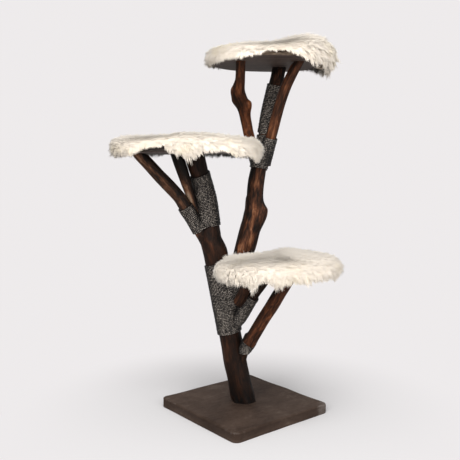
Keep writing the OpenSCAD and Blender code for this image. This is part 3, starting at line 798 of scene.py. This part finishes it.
# One rope's line, turn beside turn over the limb's own shape
def windOn(limb, low, high, seed, overFoot):
    low, high = low + rope["thick"] / 2, high - rope["thick"] / 2
    turns = (high - low) / (rope["thick"] * rope["pitch"])
    usual = limb.radius[(limb.s > low) & (limb.s < high)].mean() + rope["thick"] / 2
    count = int(turns * 2 * math.pi * usual / rope["piece"])
    t = np.linspace(0, 1, count)
    angle = t * turns * 2 * math.pi + seed
    s = low + t * (high - low) + drift(count, 40, seed) * rope["wander"]
    out = 0
    if overFoot:
        near = np.abs(limb.s - low).argmin()
        toward = math.atan2(*(strutFoot["toward"] @ side[near] for side in (limb.w, limb.u)))
        share = np.cos(angle - toward) * np.clip(1 - (s - low) / strutFoot["reach"], 0, 1) ** 1.5
        s = s - strutFoot["dip"] * np.clip(share, -0.2, 1)
        out = strutFoot["proud"] * np.clip(share, 0, 1)
    row = np.interp(s, limb.s, np.arange(len(limb.s)))
    # the two ends dive under their own last turn
    tuck = np.clip(1 - np.minimum(t, 1 - t) * turns * 9, 0, 1) ** 2
    lift = rope["thick"] * (0.5 - rope["tuck"] * tuck) + rope["clear"]
    lift = lift + drift(count, 25, seed + 7) * rope["unevenness"]
    radii, centre, u, w = (rowsAt(table, row) for table in (limb.radius, limb.centre, limb.u, limb.w))
    column = angle / (2 * math.pi) % 1 * limb.rays
    j, every = column.astype(int), np.arange(count)
    side = column - j
    radius = (1 - side) * radii[every, j % limb.rays] + side * radii[every, (j + 1) % limb.rays]
    outward = turnedTo(angle, u, w)
    return centre + (radius + lift + out)[:, None] * outward, outward


def windRopes():
    fibre = taperedHair("fibre", sides=3, rows=(0, 0.5), bend=0.2)
    tree, ends = ropeGroup(fibre, ropeFinish()), {}
    for n, (name, held) in enumerate(windings.items()):
        lines, edges, outwards = [], [], []
        for k, limb in enumerate(held):
            low, high = stretchOf(limbs[limb], name)
            if name == "post_rope":
                # it starts where the crown's turns end, and stops short of the board
                low, high = ends[limb], high - rope["postGap"]
            ends[limb] = high
            if name == strutFoot["rope"]:
                low -= strutFoot["lower"]
            line, outward = windOn(limbs[limb], low, high, 10 * n + k, name == strutFoot["rope"])
            outwards.append(outward)
            start = sum(map(len, lines))
            edges += [(start + i, start + i + 1) for i in range(len(line) - 1)]
            lines.append(line)
        outwards = np.concatenate(outwards)
        # front is how far each turn faces the front, for the rope's painted light and shade
        piece = newPiece(name + "_turns", np.concatenate(lines), [], edges=edges, smooth=False,
                         outward=outwards, front=outwards @ -spreadY)
        runGroup(piece, tree, Seed=n)
        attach(piece, "root")
        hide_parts(name)
        print(name, "turns", len(piece.data.polygons), "faces")
    bpy.data.objects.remove(fibre)


windRopes()
print("rope wound")


# Loose parts of a CAD node, each as its points
def looseParts(name):
    points, triangles, _ = cadShape(name)
    owner = np.arange(len(points))
    while True:
        lowest = owner[triangles].min(1)
        before = owner.copy()
        for k in range(3):
            np.minimum.at(owner, triangles[:, k], lowest)
        owner = owner[owner]
        if (owner == before).all():
            break
    return [points[owner == o] for o in np.unique(owner) if (owner == o).sum() > 8]


cutter = dict(sides=28, clear=0.03, sharp=50)


# Sinks a round pocket into a piece for each screw head, so the heads show
def drill(piece, heads):
    for place, heading, radius, deep in heads:
        place, heading = np.array(place), unit(np.array(heading))
        side = unit(np.cross(heading, (0.31, 0.87, 0.39)))
        ring = place + radius * turnedTo(evenAngles(cutter["sides"]), side, np.cross(heading, side))
        points = np.concatenate([ring - deep * heading, ring + cutter["clear"] * heading])
        tool = newPiece("cutter", points, closedRings(2, cutter["sides"]), piece.data.materials[0],
                        smooth=False)
        cut = piece.modifiers.new("pocket", "BOOLEAN")
        cut.operation, cut.solver, cut.object = "DIFFERENCE", "MANIFOLD", tool
        applied(piece, cut)
        bpy.data.objects.remove(tool)
    piece.data.shade_smooth()
    piece.data.set_sharp_from_angle(angle=math.radians(cutter["sharp"]))


# The boards: a live edge all round, a planed top and underside. wane is how far the edge slopes
# edge is how light each live edge is; the left board's nearly black edge is partly dark bark and partly
# painted shade from the fleece hanging over it
boardLooks = {
    "low_board": dict(seed=4, edge=-1.0),
    "left_board": dict(seed=8, edge=-3.0),
    "top_board": dict(seed=15, edge=1.0),
}
board = dict(columns=240, wane=0.0024, edgeRows=11, corner=0.0022, rough=0.0007, calm=12,
             flat=(0.02, 0.25, 0.5, 0.75, 0.9), pocket=0.0063, pocketDeep=0.004)


# How far a board reaches in each direction from its middle
def rimOf(name, count):
    low, high = (np.array(c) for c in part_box(name))
    tree = cadShape(name)[2]
    middle = (low + high) / 2
    angles = evenAngles(count)
    reach = []
    for a in angles:
        out = Vector(math.cos(a) * spreadX + math.sin(a) * spreadY)
        hit = tree.ray_cast(Vector(middle) + out * 1.0, -out)
        reach.append(1.0 - hit[3])
    return middle, low[2], high[2], angles, turnedTo(angles, spreadX, spreadY), np.array(reach)


def boardFinish(name, look):
    finish = Finish(name, Specular_IOR_Level=0.25)
    edge = finish.attribute("edge")
    place = finish.vector("ADD", finish.turned(finish.place(), -spread), (look["seed"], 0, 0))
    fine = finish.noise(place, (5, 190, 60), 5, 0.62, 0.3)
    broad = finish.noise(place, (2.4, 24, 24), 3, 0.5, 0.6)
    spots = finish.noise(place, (55, 70, 70), 4, 0.6)
    tone = fine * 0.5 + broad * 0.5 + spots * 0.25 - 0.125
    face = finish.ramp(tone, [
        (0.30, (0.020, 0.0130, 0.0105)), (0.50, (0.052, 0.0350, 0.0280)), (0.72, (0.105, 0.074, 0.058))])
    rough = finish.noise(place, (30, 30, 150), 5, 0.65, 0.8)
    # look edge makes the bark darker or lighter; on the left board it is partly painted shade
    bark = finish.ramp(rough * 0.8 + broad * 0.3 - 0.05 + look["edge"] * 0.06, [
        (0.30, (0.012, 0.0085, 0.0070)), (0.48, (0.050, 0.033, 0.023)),
        (0.62, (0.125, 0.090, 0.062)), (0.80, (0.22, 0.170, 0.120))])
    return finish.done(finish.mix(edge, face, bark), 0.62 + edge * 0.2 - fine * 0.1,
                       fine * 0.6 + rough * edge * 0.9, 0.5, 0.0014)


def makeBoard(name, look):
    middle, low, high, angles, spin, reach = rimOf(name, board["columns"])
    count, level, seed = len(angles), np.zeros_like(reach), look["seed"]
    wander = [ringDrift(count, 9, seed + n, board["calm"]) for n in range(board["edgeRows"])]
    slow = ringDrift(count, 22, seed + 40, board["calm"])
    # from the middle of the underside out, up the edge and back to the middle of the top
    rows = [(share * reach, low + level, level) for share in board["flat"]]
    for n, t in enumerate(np.linspace(0, 1, board["edgeRows"])):
        inset = board["corner"] * (1 - min(t, 1 - t, 0.09) / 0.09) ** 2
        inset = inset + board["wane"] * (0.35 - 0.35 * np.clip(slow, -1, 1)) * (1 - t)
        inset = inset + board["rough"] * np.clip(wander[n], -1.5, 1.5)
        rows.append((reach - np.clip(inset, -0.0006, 0.01), low + (high - low) * t + level,
                     level + (0 < n < board["edgeRows"] - 1)))
    rows += [(share * reach, high + level, level) for share in board["flat"][::-1]]
    points = np.array([middle * [1, 1, 0] + r[:, None] * spin + z[:, None] * [0, 0, 1] for r, z, _ in rows])
    piece = newPiece(name + "_slab", points.reshape(-1, 3), closedRings(len(rows), count),
                     boardFinish(name + "Wood", look), edge=np.concatenate([e for _, _, e in rows]))
    heads = []
    for part in looseParts(name + "_screws"):
        top = part[part[:, 2] > part[:, 2].max() - 0.004]
        heads.append((top.mean(0), longAxis(part), board["pocket"], board["pocketDeep"]))
    drill(piece, heads)
    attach(piece, "root")
    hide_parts(name)


for name, look in boardLooks.items():
    makeBoard(name, look)
print("boards made")


# The base plate: a thick slab with a worn, uneven edge
base = dict(side=0.500, thick=0.040, corner=0.026, cornerShare=0.14, round=0.0095, columns=264, calm=8,
            dent=0.0016, chip=0.0005, pocket=0.015, pocketDeep=0.012, scuffs=(
                ((-0.215, -0.215), 0.30, 0.055), ((0.245, -0.245), 0.70, 0.035),
                ((-0.225, 0.215), 0.30, 0.05), ((0.2, -0.25), 0.45, 0.02)))


def baseFinish():
    finish = Finish("weatheredBase", Specular_IOR_Level=0.12)
    place = finish.place()
    worn = finish.attribute("worn")
    fine = finish.noise(place, (8, 130, 60), 5, 0.6, 0.3)
    broad = finish.noise(place, (5, 7, 12), 4, 0.55, 0.5)
    spots = finish.noise(place, (42, 60, 60), 5, 0.68)
    tone = broad * 0.85 + fine * 0.12 + spots * 0.35 - 0.16
    face = finish.ramp(tone, [
        (0.28, (0.026, 0.0160, 0.0115)), (0.44, (0.051, 0.0325, 0.0235)),
        (0.58, (0.068, 0.0450, 0.0335)), (0.74, (0.112, 0.082, 0.064))])
    face = finish.mix(finish.attribute("band") * 0.62, face, (0.022, 0.0125, 0.0085))
    scuffs = finish.between(worn + spots * 1.1 - 0.55, 0.35, 0.95)
    return finish.done(finish.mix(scuffs * 0.75, face, (0.150, 0.126, 0.112)), 0.78 - spots * 0.14,
                       fine * 0.5 + spots * 0.4 + broad * 0.4, 0.45, 0.0016)


def makeBase():
    half, corner, count = base["side"] / 2, base["corner"], base["columns"]
    each, bend = count // 4, base["cornerShare"]
    line, normals = [], []
    for quarter in range(4):
        turn = quarter * math.pi / 2
        pivot = [round(f(turn + math.pi / 4) * 2 ** 0.5) for f in (math.cos, math.sin)]
        for k in range(each):
            t = k / each
            if t < bend:
                a = turn + (t / bend - 0.5) * math.pi / 2 + math.pi / 4
                normal = np.array([math.cos(a), math.sin(a)])
                line.append((half - corner) * np.array(pivot) + corner * normal)
            else:
                n = turn + math.pi / 2
                normal = np.array([math.cos(n), math.sin(n)])
                across = np.array([math.sin(n), -math.cos(n)])
                line.append(normal * half + across * (half - corner) * (1 - 2 * (t - bend) / (1 - bend)))
            normals.append(normal)
    line, normals = np.array(line), np.array(normals)
    wave = [ringDrift(count, step, seed, base["calm"]) for step, seed in ((26, 1), (9, 2), (14, 3), (7, 4))]
    dent = base["dent"] * np.clip(wave[0], -0.3, 2) + base["chip"] * np.clip(wave[1], -1, 2)
    bevel = base["round"] * np.clip(1 + 0.45 * wave[2], 0.5, 1.8)
    thick, level = base["thick"], np.zeros(count)
    # each layer's outline, height and wear, from the underside out, up the edge and over the top
    layers = [(line * share, level, level) for share in (0.02, 0.5, 0.93)]
    for inset, z, wear in ((0.0030, 0.0, 0.1), (0.0008, 0.0008, 0.3), (0, 0.003, 0.2)):
        layers.append((line - normals * (inset + dent)[:, None], z + level, wear + level))
    for t in (0.3, 0.55, 0.8):
        inset = dent * (1 + 0.3 * t) + 0.0004 * wave[3] * t
        layers.append((line - normals * inset[:, None], thick * t + level, 0.12 + level))
    for turn in np.linspace(0, math.pi / 2, 6):
        inset = dent * 1.3 + bevel * (1 - math.cos(turn))
        worn = 0.12 + 0.22 * math.sin(turn * 2) * np.clip(0.6 + wave[1], 0, 1.5)
        layers.append((line - normals * inset[:, None], thick - bevel * (1 - math.sin(turn)), worn))
    edge = layers[-1][0]
    for share, wear in ((0.97, 0.15), (0.93, 0.05), (0.8, 0), (0.6, 0), (0.4, 0), (0.2, 0), (0.02, 0)):
        layers.append((edge * share, thick + level, wear + level))
    points = np.array([np.column_stack([xy, z]) for xy, z, _ in layers])
    wear = np.array([w for _, _, w in layers])
    # the side is darkest just under its top edge
    height = points[..., 2] / thick
    edgeOn = np.arange(len(layers))[:, None] < len(layers) - 8
    band = edgeOn * np.clip((height - 0.15) / 0.55, 0, 1) * np.clip((1.04 - height) / 0.2, 0, 1)
    # the corner nearest the front and the one on the right are the most scuffed
    for place, size, width in base["scuffs"]:
        wear = wear + size * hump(np.linalg.norm(points[..., :2] - place, axis=-1), 0, width)
    piece = newPiece("base_slab", points.reshape(-1, 3), closedRings(len(layers), count), baseFinish(),
                     worn=wear.ravel(), band=band.ravel())
    drill(piece, [(part.mean(0) * [1, 1, 0], (0, 0, -1), base["pocket"], base["pocketDeep"])
                  for part in looseParts("base_washers")])
    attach(piece, "root")
    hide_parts("base_plate")


makeBase()
print("base made")


# Zinc-plated screws, bolts and washers, and the two halves of the tape
def zincFinish():
    finish = Finish("zincPlate", Metallic=1.0)
    place = finish.place()
    cloud = finish.noise(place, 220, 4, 0.6)
    colour = finish.ramp(cloud, [
        (0.3, (0.36, 0.35, 0.33)), (0.55, (0.52, 0.52, 0.50)), (0.75, (0.60, 0.58, 0.52))])
    return finish.done(colour, 0.30 + cloud * 0.22, finish.noise(place, 900, 2), 0.2, 0.0002)


def tapeFinish(name, hooks):
    finish = Finish(name, Specular_IOR_Level=0.3, Sheen_Weight=0.0 if hooks else 0.4)
    place = finish.turned(finish.place(), -spread)
    grains = finish.cells(place, 850 if hooks else 420)
    fuzz = finish.noise(place, 160, 4, 0.7)
    dark = (0.004, 0.004, 0.0045) if hooks else (0.008, 0.008, 0.010)
    light = (0.020, 0.020, 0.022) if hooks else (0.036, 0.036, 0.041)
    return finish.done(finish.ramp(grains * 0.5 + fuzz * 0.5, [(0.3, dark), (0.7, light)]),
                       0.7 + fuzz * 0.2, grains * 0.7 + fuzz * 0.5, 0.8, 0.0008)


def dress(material, *names):
    for name in names:
        for place in nodes[name].material_slots:
            place.material = material


dress(zincFinish(), "base_bolts", "base_washers", *[n for n in nodes if n.endswith("_screws")])
dress(tapeFinish("hookTape", True), *[n for n in nodes if n.endswith("hook_tape")])
dress(tapeFinish("loopTape", False), *[n for n in nodes if n.endswith("loop_tape")])
print("metal and tape finished")


# The fleeces: a padded hide over each board, and hair rooted on it in locks.
# Each line of a profile: angle round the board (0 is right, 270 the front), how far the hide
# hangs below the board, how far it stands out, its rise over the rim, length of its hair.
# Each mound of the top: right, back, how high, how wide
fleeceLooks = {
    "low": dict(seed=2, profile=[
        (0, -3, 18, 16, 28), (40, -6, 16, 20, 26), (80, -6, 16, 24, 26), (105, -8, 9, 20, 20),
        (140, -9, 4, 11, 16), (170, -3, 14, 9, 22), (190, 1, 20, 9, 28), (215, 0, 21, 9, 28),
        (232, -3, 20, 13, 27), (240, 6, 18, 12, 36), (246, -5, 18, 11, 24), (253, -7, 18, 11, 20),
        (264, 2, 20, 12, 34), (280, -5, 18, 12, 25), (300, -1, 20, 12, 32), (325, -4, 20, 13, 26)],
        mounds=[(0.06, -0.03, 0.018, 0.13)]),
    "left": dict(seed=5, profile=[
        (0, 12, 14, 9, 24), (25, 2, 18, 12, 20), (90, -8, 16, 16, 18), (165, -4, 20, 14, 20),
        (192, 1, 22, 13, 22), (210, -2, 19, 12, 18), (220, -13, 12, 12, 12), (230, -26, 6, 13, 9),
        (243, -25, 6, 17, 9), (250, -10, 11, 19, 16), (257, -3, 14, 22, 28), (267, -3, 16, 23, 30),
        (279, 3, 16, 23, 38), (288, -7, 16, 23, 24), (301, -6, 16, 22, 21), (308, -9, 14, 20, 15),
        (313, -9, 14, 19, 15), (318, -2, 15, 17, 21), (334, 2, 16, 13, 26), (348, 12, 17, 9, 26)],
        mounds=[(0.0, -0.03, 0.013, 0.14), (0.20, 0.02, -0.003, 0.06)]),
    "top": dict(seed=9, profile=[
        (0, 18, 20, 15, 33), (20, 8, 18, 17, 25), (50, -14, 12, 18, 14), (90, -22, 6, 15, 11),
        (130, -20, 7, 14, 11), (155, -8, 18, 12, 17), (190, 0, 22, 11, 21), (215, 2, 16, 10, 18),
        (235, 2, 12, 10, 16), (250, -5, 9, 11, 15), (266, -19, 8, 12, 12), (282, -19, 8, 15, 12),
        (294, -10, 11, 20, 15), (302, -4, 15, 25, 24), (312, 2, 17, 26, 36), (326, 5, 19, 23, 38),
        (342, 20, 22, 17, 37)],
        mounds=[(-0.01, -0.03, 0.004, 0.11), (0.13, -0.07, 0.020, 0.065), (0.15, 0.05, 0.006, 0.07)]),
}
# voxel, swell and frames are the hide's; tufts is hairs in each of the parts; topHair their
# length on top; lockHairs how many gather to a point; whorl how far back the hair parts
fleece = dict(columns=200, gap=0.002, lift=0.0033, hem=0.0015, calm=10, voxel=0.005, slack=0.0022,
              swell=0.006, frames=14, parts=3, tufts=14200, girth=0.00126, topHair=0.018, lockHairs=12,
              gather=0.13, lean=0.11, hairLean=0.11, lockSize=0.16, hairSize=0.10, even=48, upward=0.2,
              stand=0.37, rimExtra=1.5, rimNormal=0.62, swirl=0.24, swirlSize=0.30, swirlWaves=7, twist=0.6,
              whorl=0.13, soft=0.93)
cloth = dict(quality=4, mass=0.25, use_pressure=True, uniform_pressure_force=4.0,
             tension_stiffness=12, compression_stiffness=12, shear_stiffness=4,
             bending_stiffness=0.4, vertex_group_mass="onBoard")


def lookAt(profile, angles, column):
    rows = sorted(profile)
    degrees = np.degrees(angles) % 360
    found = np.interp(degrees, [r[0] for r in rows], [r[column] for r in rows], period=360)
    return found / 1000


# The hide as rings from the middle of its inner side out, round the hem and back over the top
def hideShell(name, look):
    middle, low, high, angles, spin, reach = rimOf(name + "_board", fleece["columns"])
    hem, out, rise = (lookAt(look["profile"], angles, k) for k in (1, 2, 3))
    count = len(angles)
    wave = [ringDrift(count, 7, look["seed"] + n, fleece["calm"]) for n in range(2)]
    inner = np.full(count, high + fleece["lift"])
    foot = np.minimum(low - hem + fleece["hem"] * wave[0], high - 0.004)
    out = out + fleece["hem"] * wave[1]
    wall = reach + fleece["gap"]
    rings = [(0.03 * reach, inner), (0.5 * reach, inner), (0.9 * reach, inner), (wall, inner),
             (wall, (inner + foot) / 2), (wall, foot + 0.001), (wall + 0.3 * out, foot - 0.001),
             (wall + 0.7 * out, foot + 0.001), (reach + 0.95 * out, foot + 0.007),
             (reach + out, (foot + high) / 2)]
    rings += [(reach + share * out, high + up * rise)
              for share, up in ((0.96, 0.06), (0.72, 0.42), (0.25, 0.72))]
    rings += [(0.94 * reach, high + 0.90 * rise)]
    rings += [(share * reach, high + rise * (1 - 0.05 * (share > 0.8)))
              for share in (0.82, 0.68, 0.54, 0.4, 0.26, 0.12, 0.03)]
    points = []
    for n, (r, z) in enumerate(rings):
        ring = middle * [1, 1, 0] + r[:, None] * spin
        share = np.clip(1 - r / reach, 0, 1)
        if n > 9:
            # the middle of the hide is level, its rim follows the profile
            z = z + (np.mean(rise) + 0.003 - rise) * share ** 1.2 * (n > 12)
            local = np.stack([r * np.cos(angles), r * np.sin(angles)], -1)
            for x, y, height, width in look["mounds"]:
                z = z + height * np.exp(-((local - (x, y)) ** 2).sum(-1) / (2 * width ** 2)) * np.clip(
                    (n - 9) / 4, 0, 1)
        points.append(np.column_stack([ring[:, :2], z]))
    return np.concatenate(points), closedRings(len(rings), count), middle, high, reach


def isInner(points, middle, high, reach):
    flat, slack = points - middle, fleece["slack"]
    x, y = flat @ spreadX, flat @ spreadY
    rim = np.interp(np.arctan2(y, x) % (2 * math.pi), evenAngles(len(reach)), reach, period=2 * math.pi)
    return (np.hypot(x, y) < rim + fleece["gap"] + slack) & (points[:, 2] < high + fleece["lift"] + slack)


def plain(piece, kind, **settings):
    made = piece.modifiers.new(kind.lower(), kind)
    for key, value in settings.items():
        setattr(made, key, value)
    applied(piece, made)


def pointsOf(mesh):
    return readValues(mesh.vertices, "co", 3).astype(float)


# Cloth under pressure: the side on the board stays put and the outside swells a little
def swell(piece, inner):
    before = pointsOf(piece.data)
    group = piece.vertex_groups.new(name="onBoard")
    group.add(np.flatnonzero(inner).tolist(), 1.0, "REPLACE")
    made = piece.modifiers.new("hide", "CLOTH")
    for key, value in cloth.items():
        setattr(made.settings, key, value)
    made.settings.effector_weights.gravity = 0
    made.collision_settings.use_collision = False
    for frameNumber in range(1, fleece["frames"] + 1):
        scene.frame_set(frameNumber)
    held = bpy.context.evaluated_depsgraph_get()
    after = pointsOf(piece.evaluated_get(held).data)
    piece.modifiers.remove(made)
    piece.vertex_groups.clear()
    scene.frame_set(1)
    move = after - before
    size = np.linalg.norm(move, axis=1, keepdims=True)
    move = move * np.minimum(1, fleece["swell"] / np.maximum(size, 1e-9))
    piece.data.vertices.foreach_set("co", (before + move).astype(np.float32).ravel())
    piece.data.update()
    print(piece.name, "swelled by", round(float(size.max()) * 1000, 1), "mm before its cap")


def hideFinish():
    finish = Finish("fleeceHide", Specular_IOR_Level=0.2, Sheen_Weight=0.2)
    place = finish.place()
    skin = finish.attribute("skinSide")
    fine = finish.noise(place, 300, 4, 0.6)
    broad = finish.noise(place, 20, 3)
    wool = finish.ramp(fine * 0.6 + broad * 0.4, [
        (0.3, (0.837, 0.734, 0.592)), (0.7, (0.893, 0.814, 0.705))])
    suede = finish.ramp(fine * 0.5 + broad * 0.5, [
        (0.3, (0.40, 0.31, 0.215)), (0.7, (0.521, 0.407, 0.287))])
    return finish.done(finish.mix(skin, wool, suede), 0.8 + fine * 0.1, fine, 0.6, 0.002)


def furFinish():
    finish = Finish("longFleece", Roughness=0.72, Specular_IOR_Level=0.2, Sheen_Weight=0.25)
    tip = finish.attribute("tip")
    tone = finish.attribute("tone")
    place = finish.place()
    creamy = finish.noise(place, 8, 2)
    shade = tip * 0.60 + tone * 0.22 + creamy * 0.16 - 0.01
    colour = finish.ramp(shade, [
        (0.02, (0.871, 0.755, 0.594)), (0.30, (0.888, 0.785, 0.649)),
        (0.58, (0.882, 0.794, 0.680)), (0.90, (0.882, 0.803, 0.709))])
    yellow = finish.between(creamy + tone * 0.1, 0.60, 0.78)
    return finish.done(finish.mix(yellow * 0.5, colour, (0.843, 0.724, 0.509)))


# The hide's normals, evened out over its outer side so that the hair turns slowly
def evenNormals(mesh, wanted, rounds):
    normals = readValues(mesh.vertices, "normal", 3).astype(float)
    ends = readValues(mesh.edges, "vertices", 2, np.int32)
    ends = ends[wanted[ends].all(1)]
    to, source = np.concatenate([ends, ends[:, ::-1]]).T
    for _ in range(rounds):
        near = sumBy(to, normals[source], len(normals))
        normals = np.where(wanted[:, None], unit(normals + near + 1e-9), normals)
    return normals


# Points on the hide's outer side, spread evenly, each with the hide's normal there
def scatter(mesh, normals, count, rng, wanted):
    points = pointsOf(mesh)
    mesh.calc_loop_triangles()
    triangles = readValues(mesh.loop_triangles, "vertices", 3, np.int32)
    a, b, c = (points[triangles[:, k]] for k in range(3))
    area = np.linalg.norm(np.cross(b - a, c - a), axis=1) * wanted[triangles].all(1)
    # more roots where the hide turns over its rim, because the hair fans out there
    area = area * (1 + fleece["rimExtra"] * hump(normals[triangles, 2].mean(1), fleece["rimNormal"], 0.28))
    order = np.cumsum(area)
    spots = (np.arange(count) + rng.random(count)) / count * order[-1]
    face = np.clip(np.searchsorted(order, spots), 0, len(triangles) - 1)
    u, v = rng.random(count), rng.random(count)
    over = u + v > 1
    u[over], v[over] = 1 - u[over], 1 - v[over]
    weights = np.stack([1 - u - v, u, v], -1)[..., None]
    picked = triangles[face]
    return (points[picked] * weights).sum(1), unit((normals[picked] * weights).sum(1))


# A smooth random field over space, for the way that hair lies
def swirl(points, rng, size):
    total, waves = np.zeros((len(points), 3)), fleece["swirlWaves"]
    for _ in range(waves):
        way = unit(rng.normal(size=3)) / size * rng.uniform(0.6, 1.4)
        total += rng.normal(size=3) * np.sin(points @ way * 2 * math.pi + rng.uniform(0, 6.28))[:, None]
    return total / waves ** 0.5


# What is left of a direction without its share along the normals
def flattened(way, normals):
    return way - normals * (way * normals).sum(1, keepdims=True)


# Which way each hair lies, how long it is, and whether it is on the side of the fleece
def layHair(roots, normals, middle, look, rng):
    flat = roots - middle
    angles = np.arctan2(flat @ spreadY, flat @ spreadX)
    # the hair parts from a whorl set towards the back
    parted = (flat - spreadY * fleece["whorl"]) * [1, 1, 0]
    side = np.clip((0.97 - normals[:, 2]) / 0.8, 0, 1)[:, None]
    under = np.clip(-normals[:, 2] - 0.2, 0, 1)[:, None]
    field = flattened(swirl(roots, rng, fleece["swirlSize"]), normals)
    down = np.array([0, 0, -1.0])
    # hair lies downhill: outwards over the top, then down the sides
    steep = np.clip(normals[:, 2:], 0, 1)
    flow = unit(parted) * steep + down * (1 - steep)
    flow = unit(flattened(flow, normals) + 1e-9)
    flow = unit(flow + np.cross(normals, flow) * fleece["twist"])
    outer = (0.4 + np.linalg.norm(parted, axis=1, keepdims=True) / 0.12).clip(0, 1)
    lay = normals * fleece["stand"] + field * fleece["swirl"] + flow * (0.30 * outer + 0.45 * side)
    lay = lay + down * 0.4 * under
    skirt = lookAt(look["profile"], angles, 4)
    length = fleece["topHair"] + (skirt - fleece["topHair"]) * side[:, 0] ** 1.5
    return unit(lay), length, side[:, 0]


# Gathers the hairs into locks; gives each hair's new direction, length and tone
def lockUp(roots, lay, length, side, rng):
    count = len(roots)
    many = int(count / fleece["lockHairs"])
    owner = nearest(roots[rng.choice(count, many, replace=False)], roots)
    lean = rng.normal(size=(many, 3)) * fleece["lean"]
    size = np.exp(rng.normal(size=many) * fleece["lockSize"])
    side = side[:, None]
    lay = unit(lay + lean[owner] * (0.6 + side) + rng.normal(size=(count, 3)) * fleece["hairLean"])
    length = length * size[owner] * np.exp(rng.normal(size=count) * fleece["hairSize"])
    tips = roots + lay * length[:, None]
    ends = sumBy(owner, tips, many) / np.maximum(np.bincount(owner, minlength=many), 1)[:, None]
    # long hair gathers into points
    share = fleece["gather"] * (0.5 + 0.9 * side) + np.clip(length[:, None] - 0.024, 0, 0.014) * 10 * side
    tips = tips * (1 - share) + ends[owner] * share
    way = tips - roots
    tone = np.clip(0.5 + 0.16 * rng.normal(size=many)[owner] + 0.14 * rng.normal(size=count), 0, 1)
    return unit(way), np.linalg.norm(way, axis=1), tone


def furGroup(hair, fur):
    graph, given = newGroup("fur")
    turn = graph.aimed("Z", graph.stored("lay"))
    turn = graph.aimed("X", graph.stored("lean"), rotation=turn)
    size = graph.xyz(fleece["girth"], fleece["girth"], graph.stored("hairLength", "FLOAT"))
    spots = graph.node("GeometryNodeMeshToPoints", {}, {"Mesh": given.out("Geometry")})
    return endGroup(graph, graph.strewn(spots, hair, turn, size), fur)


# Turns the hairs' normals towards the hide's, so that the fur shades softly
def softNormals(mesh, share):
    own = readValues(mesh.vertices, "normal", 3)
    hide = readValues(mesh.attributes["hideNormal"].data, "vector", 3)
    mesh.normals_split_custom_set_from_vertices(unit(own * (1 - share) + hide * share).tolist())


def makeFleece(name, look, furTree, fur, hide):
    points, faces, middle, high, reach = hideShell(name, look)
    pelt = newPiece(name + "_hide", points, faces, hide)
    plain(pelt, "REMESH", mode="VOXEL", voxel_size=fleece["voxel"])
    plain(pelt, "SMOOTH", factor=0.5, iterations=3)
    inner = isInner(pointsOf(pelt.data), middle, high, reach)
    swell(pelt, inner)
    pelt.data.shade_smooth()
    giveValues(pelt, "skinSide", inner.astype(float))
    body = name + "_fleece"
    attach(pelt, body)
    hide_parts(body)

    rng = np.random.default_rng(look["seed"])
    even = evenNormals(pelt.data, ~inner, fleece["even"])
    roots, normals = scatter(pelt.data, even, fleece["parts"] * fleece["tufts"], rng, ~inner)
    lay, length, side = layHair(roots, normals, middle, look, rng)
    lay, length, tone = lockUp(roots, lay, length, side, rng)
    lean = lay * 0.2 + np.array([0, 0, -1.0]) + rng.normal(size=lay.shape) * 0.25
    roots = roots - normals * 0.001
    order = rng.permutation(len(roots))
    for k in range(fleece["parts"]):
        mine = order[k::fleece["parts"]]
        piece = newPiece(name + "_fur_%d" % (k + 1), roots[mine], [], fur, smooth=False, lay=lay[mine],
                         lean=lean[mine], hairLength=length[mine], tone=tone[mine],
                         hideNormal=unit(normals[mine] + [0, 0, fleece["upward"]]))
        runGroup(piece, furTree)
        softNormals(piece.data, fleece["soft"])
        for spare in ("lay", "lean", "hairLength", "hideNormal"):
            piece.data.attributes.remove(piece.data.attributes[spare])
        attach(piece, body)
    print(name, "fleece made", len(pelt.data.vertices), "points in its hide")


def makeFleeces():
    hair = taperedHair("hairShape", sides=3, rows=(0, 0.5), bend=4.5)
    fur, hide = furFinish(), hideFinish()
    furTree = furGroup(hair, fur)
    for name, look in fleeceLooks.items():
        makeFleece(name, look, furTree, fur, hide)
    bpy.data.objects.remove(hair)


makeFleeces()
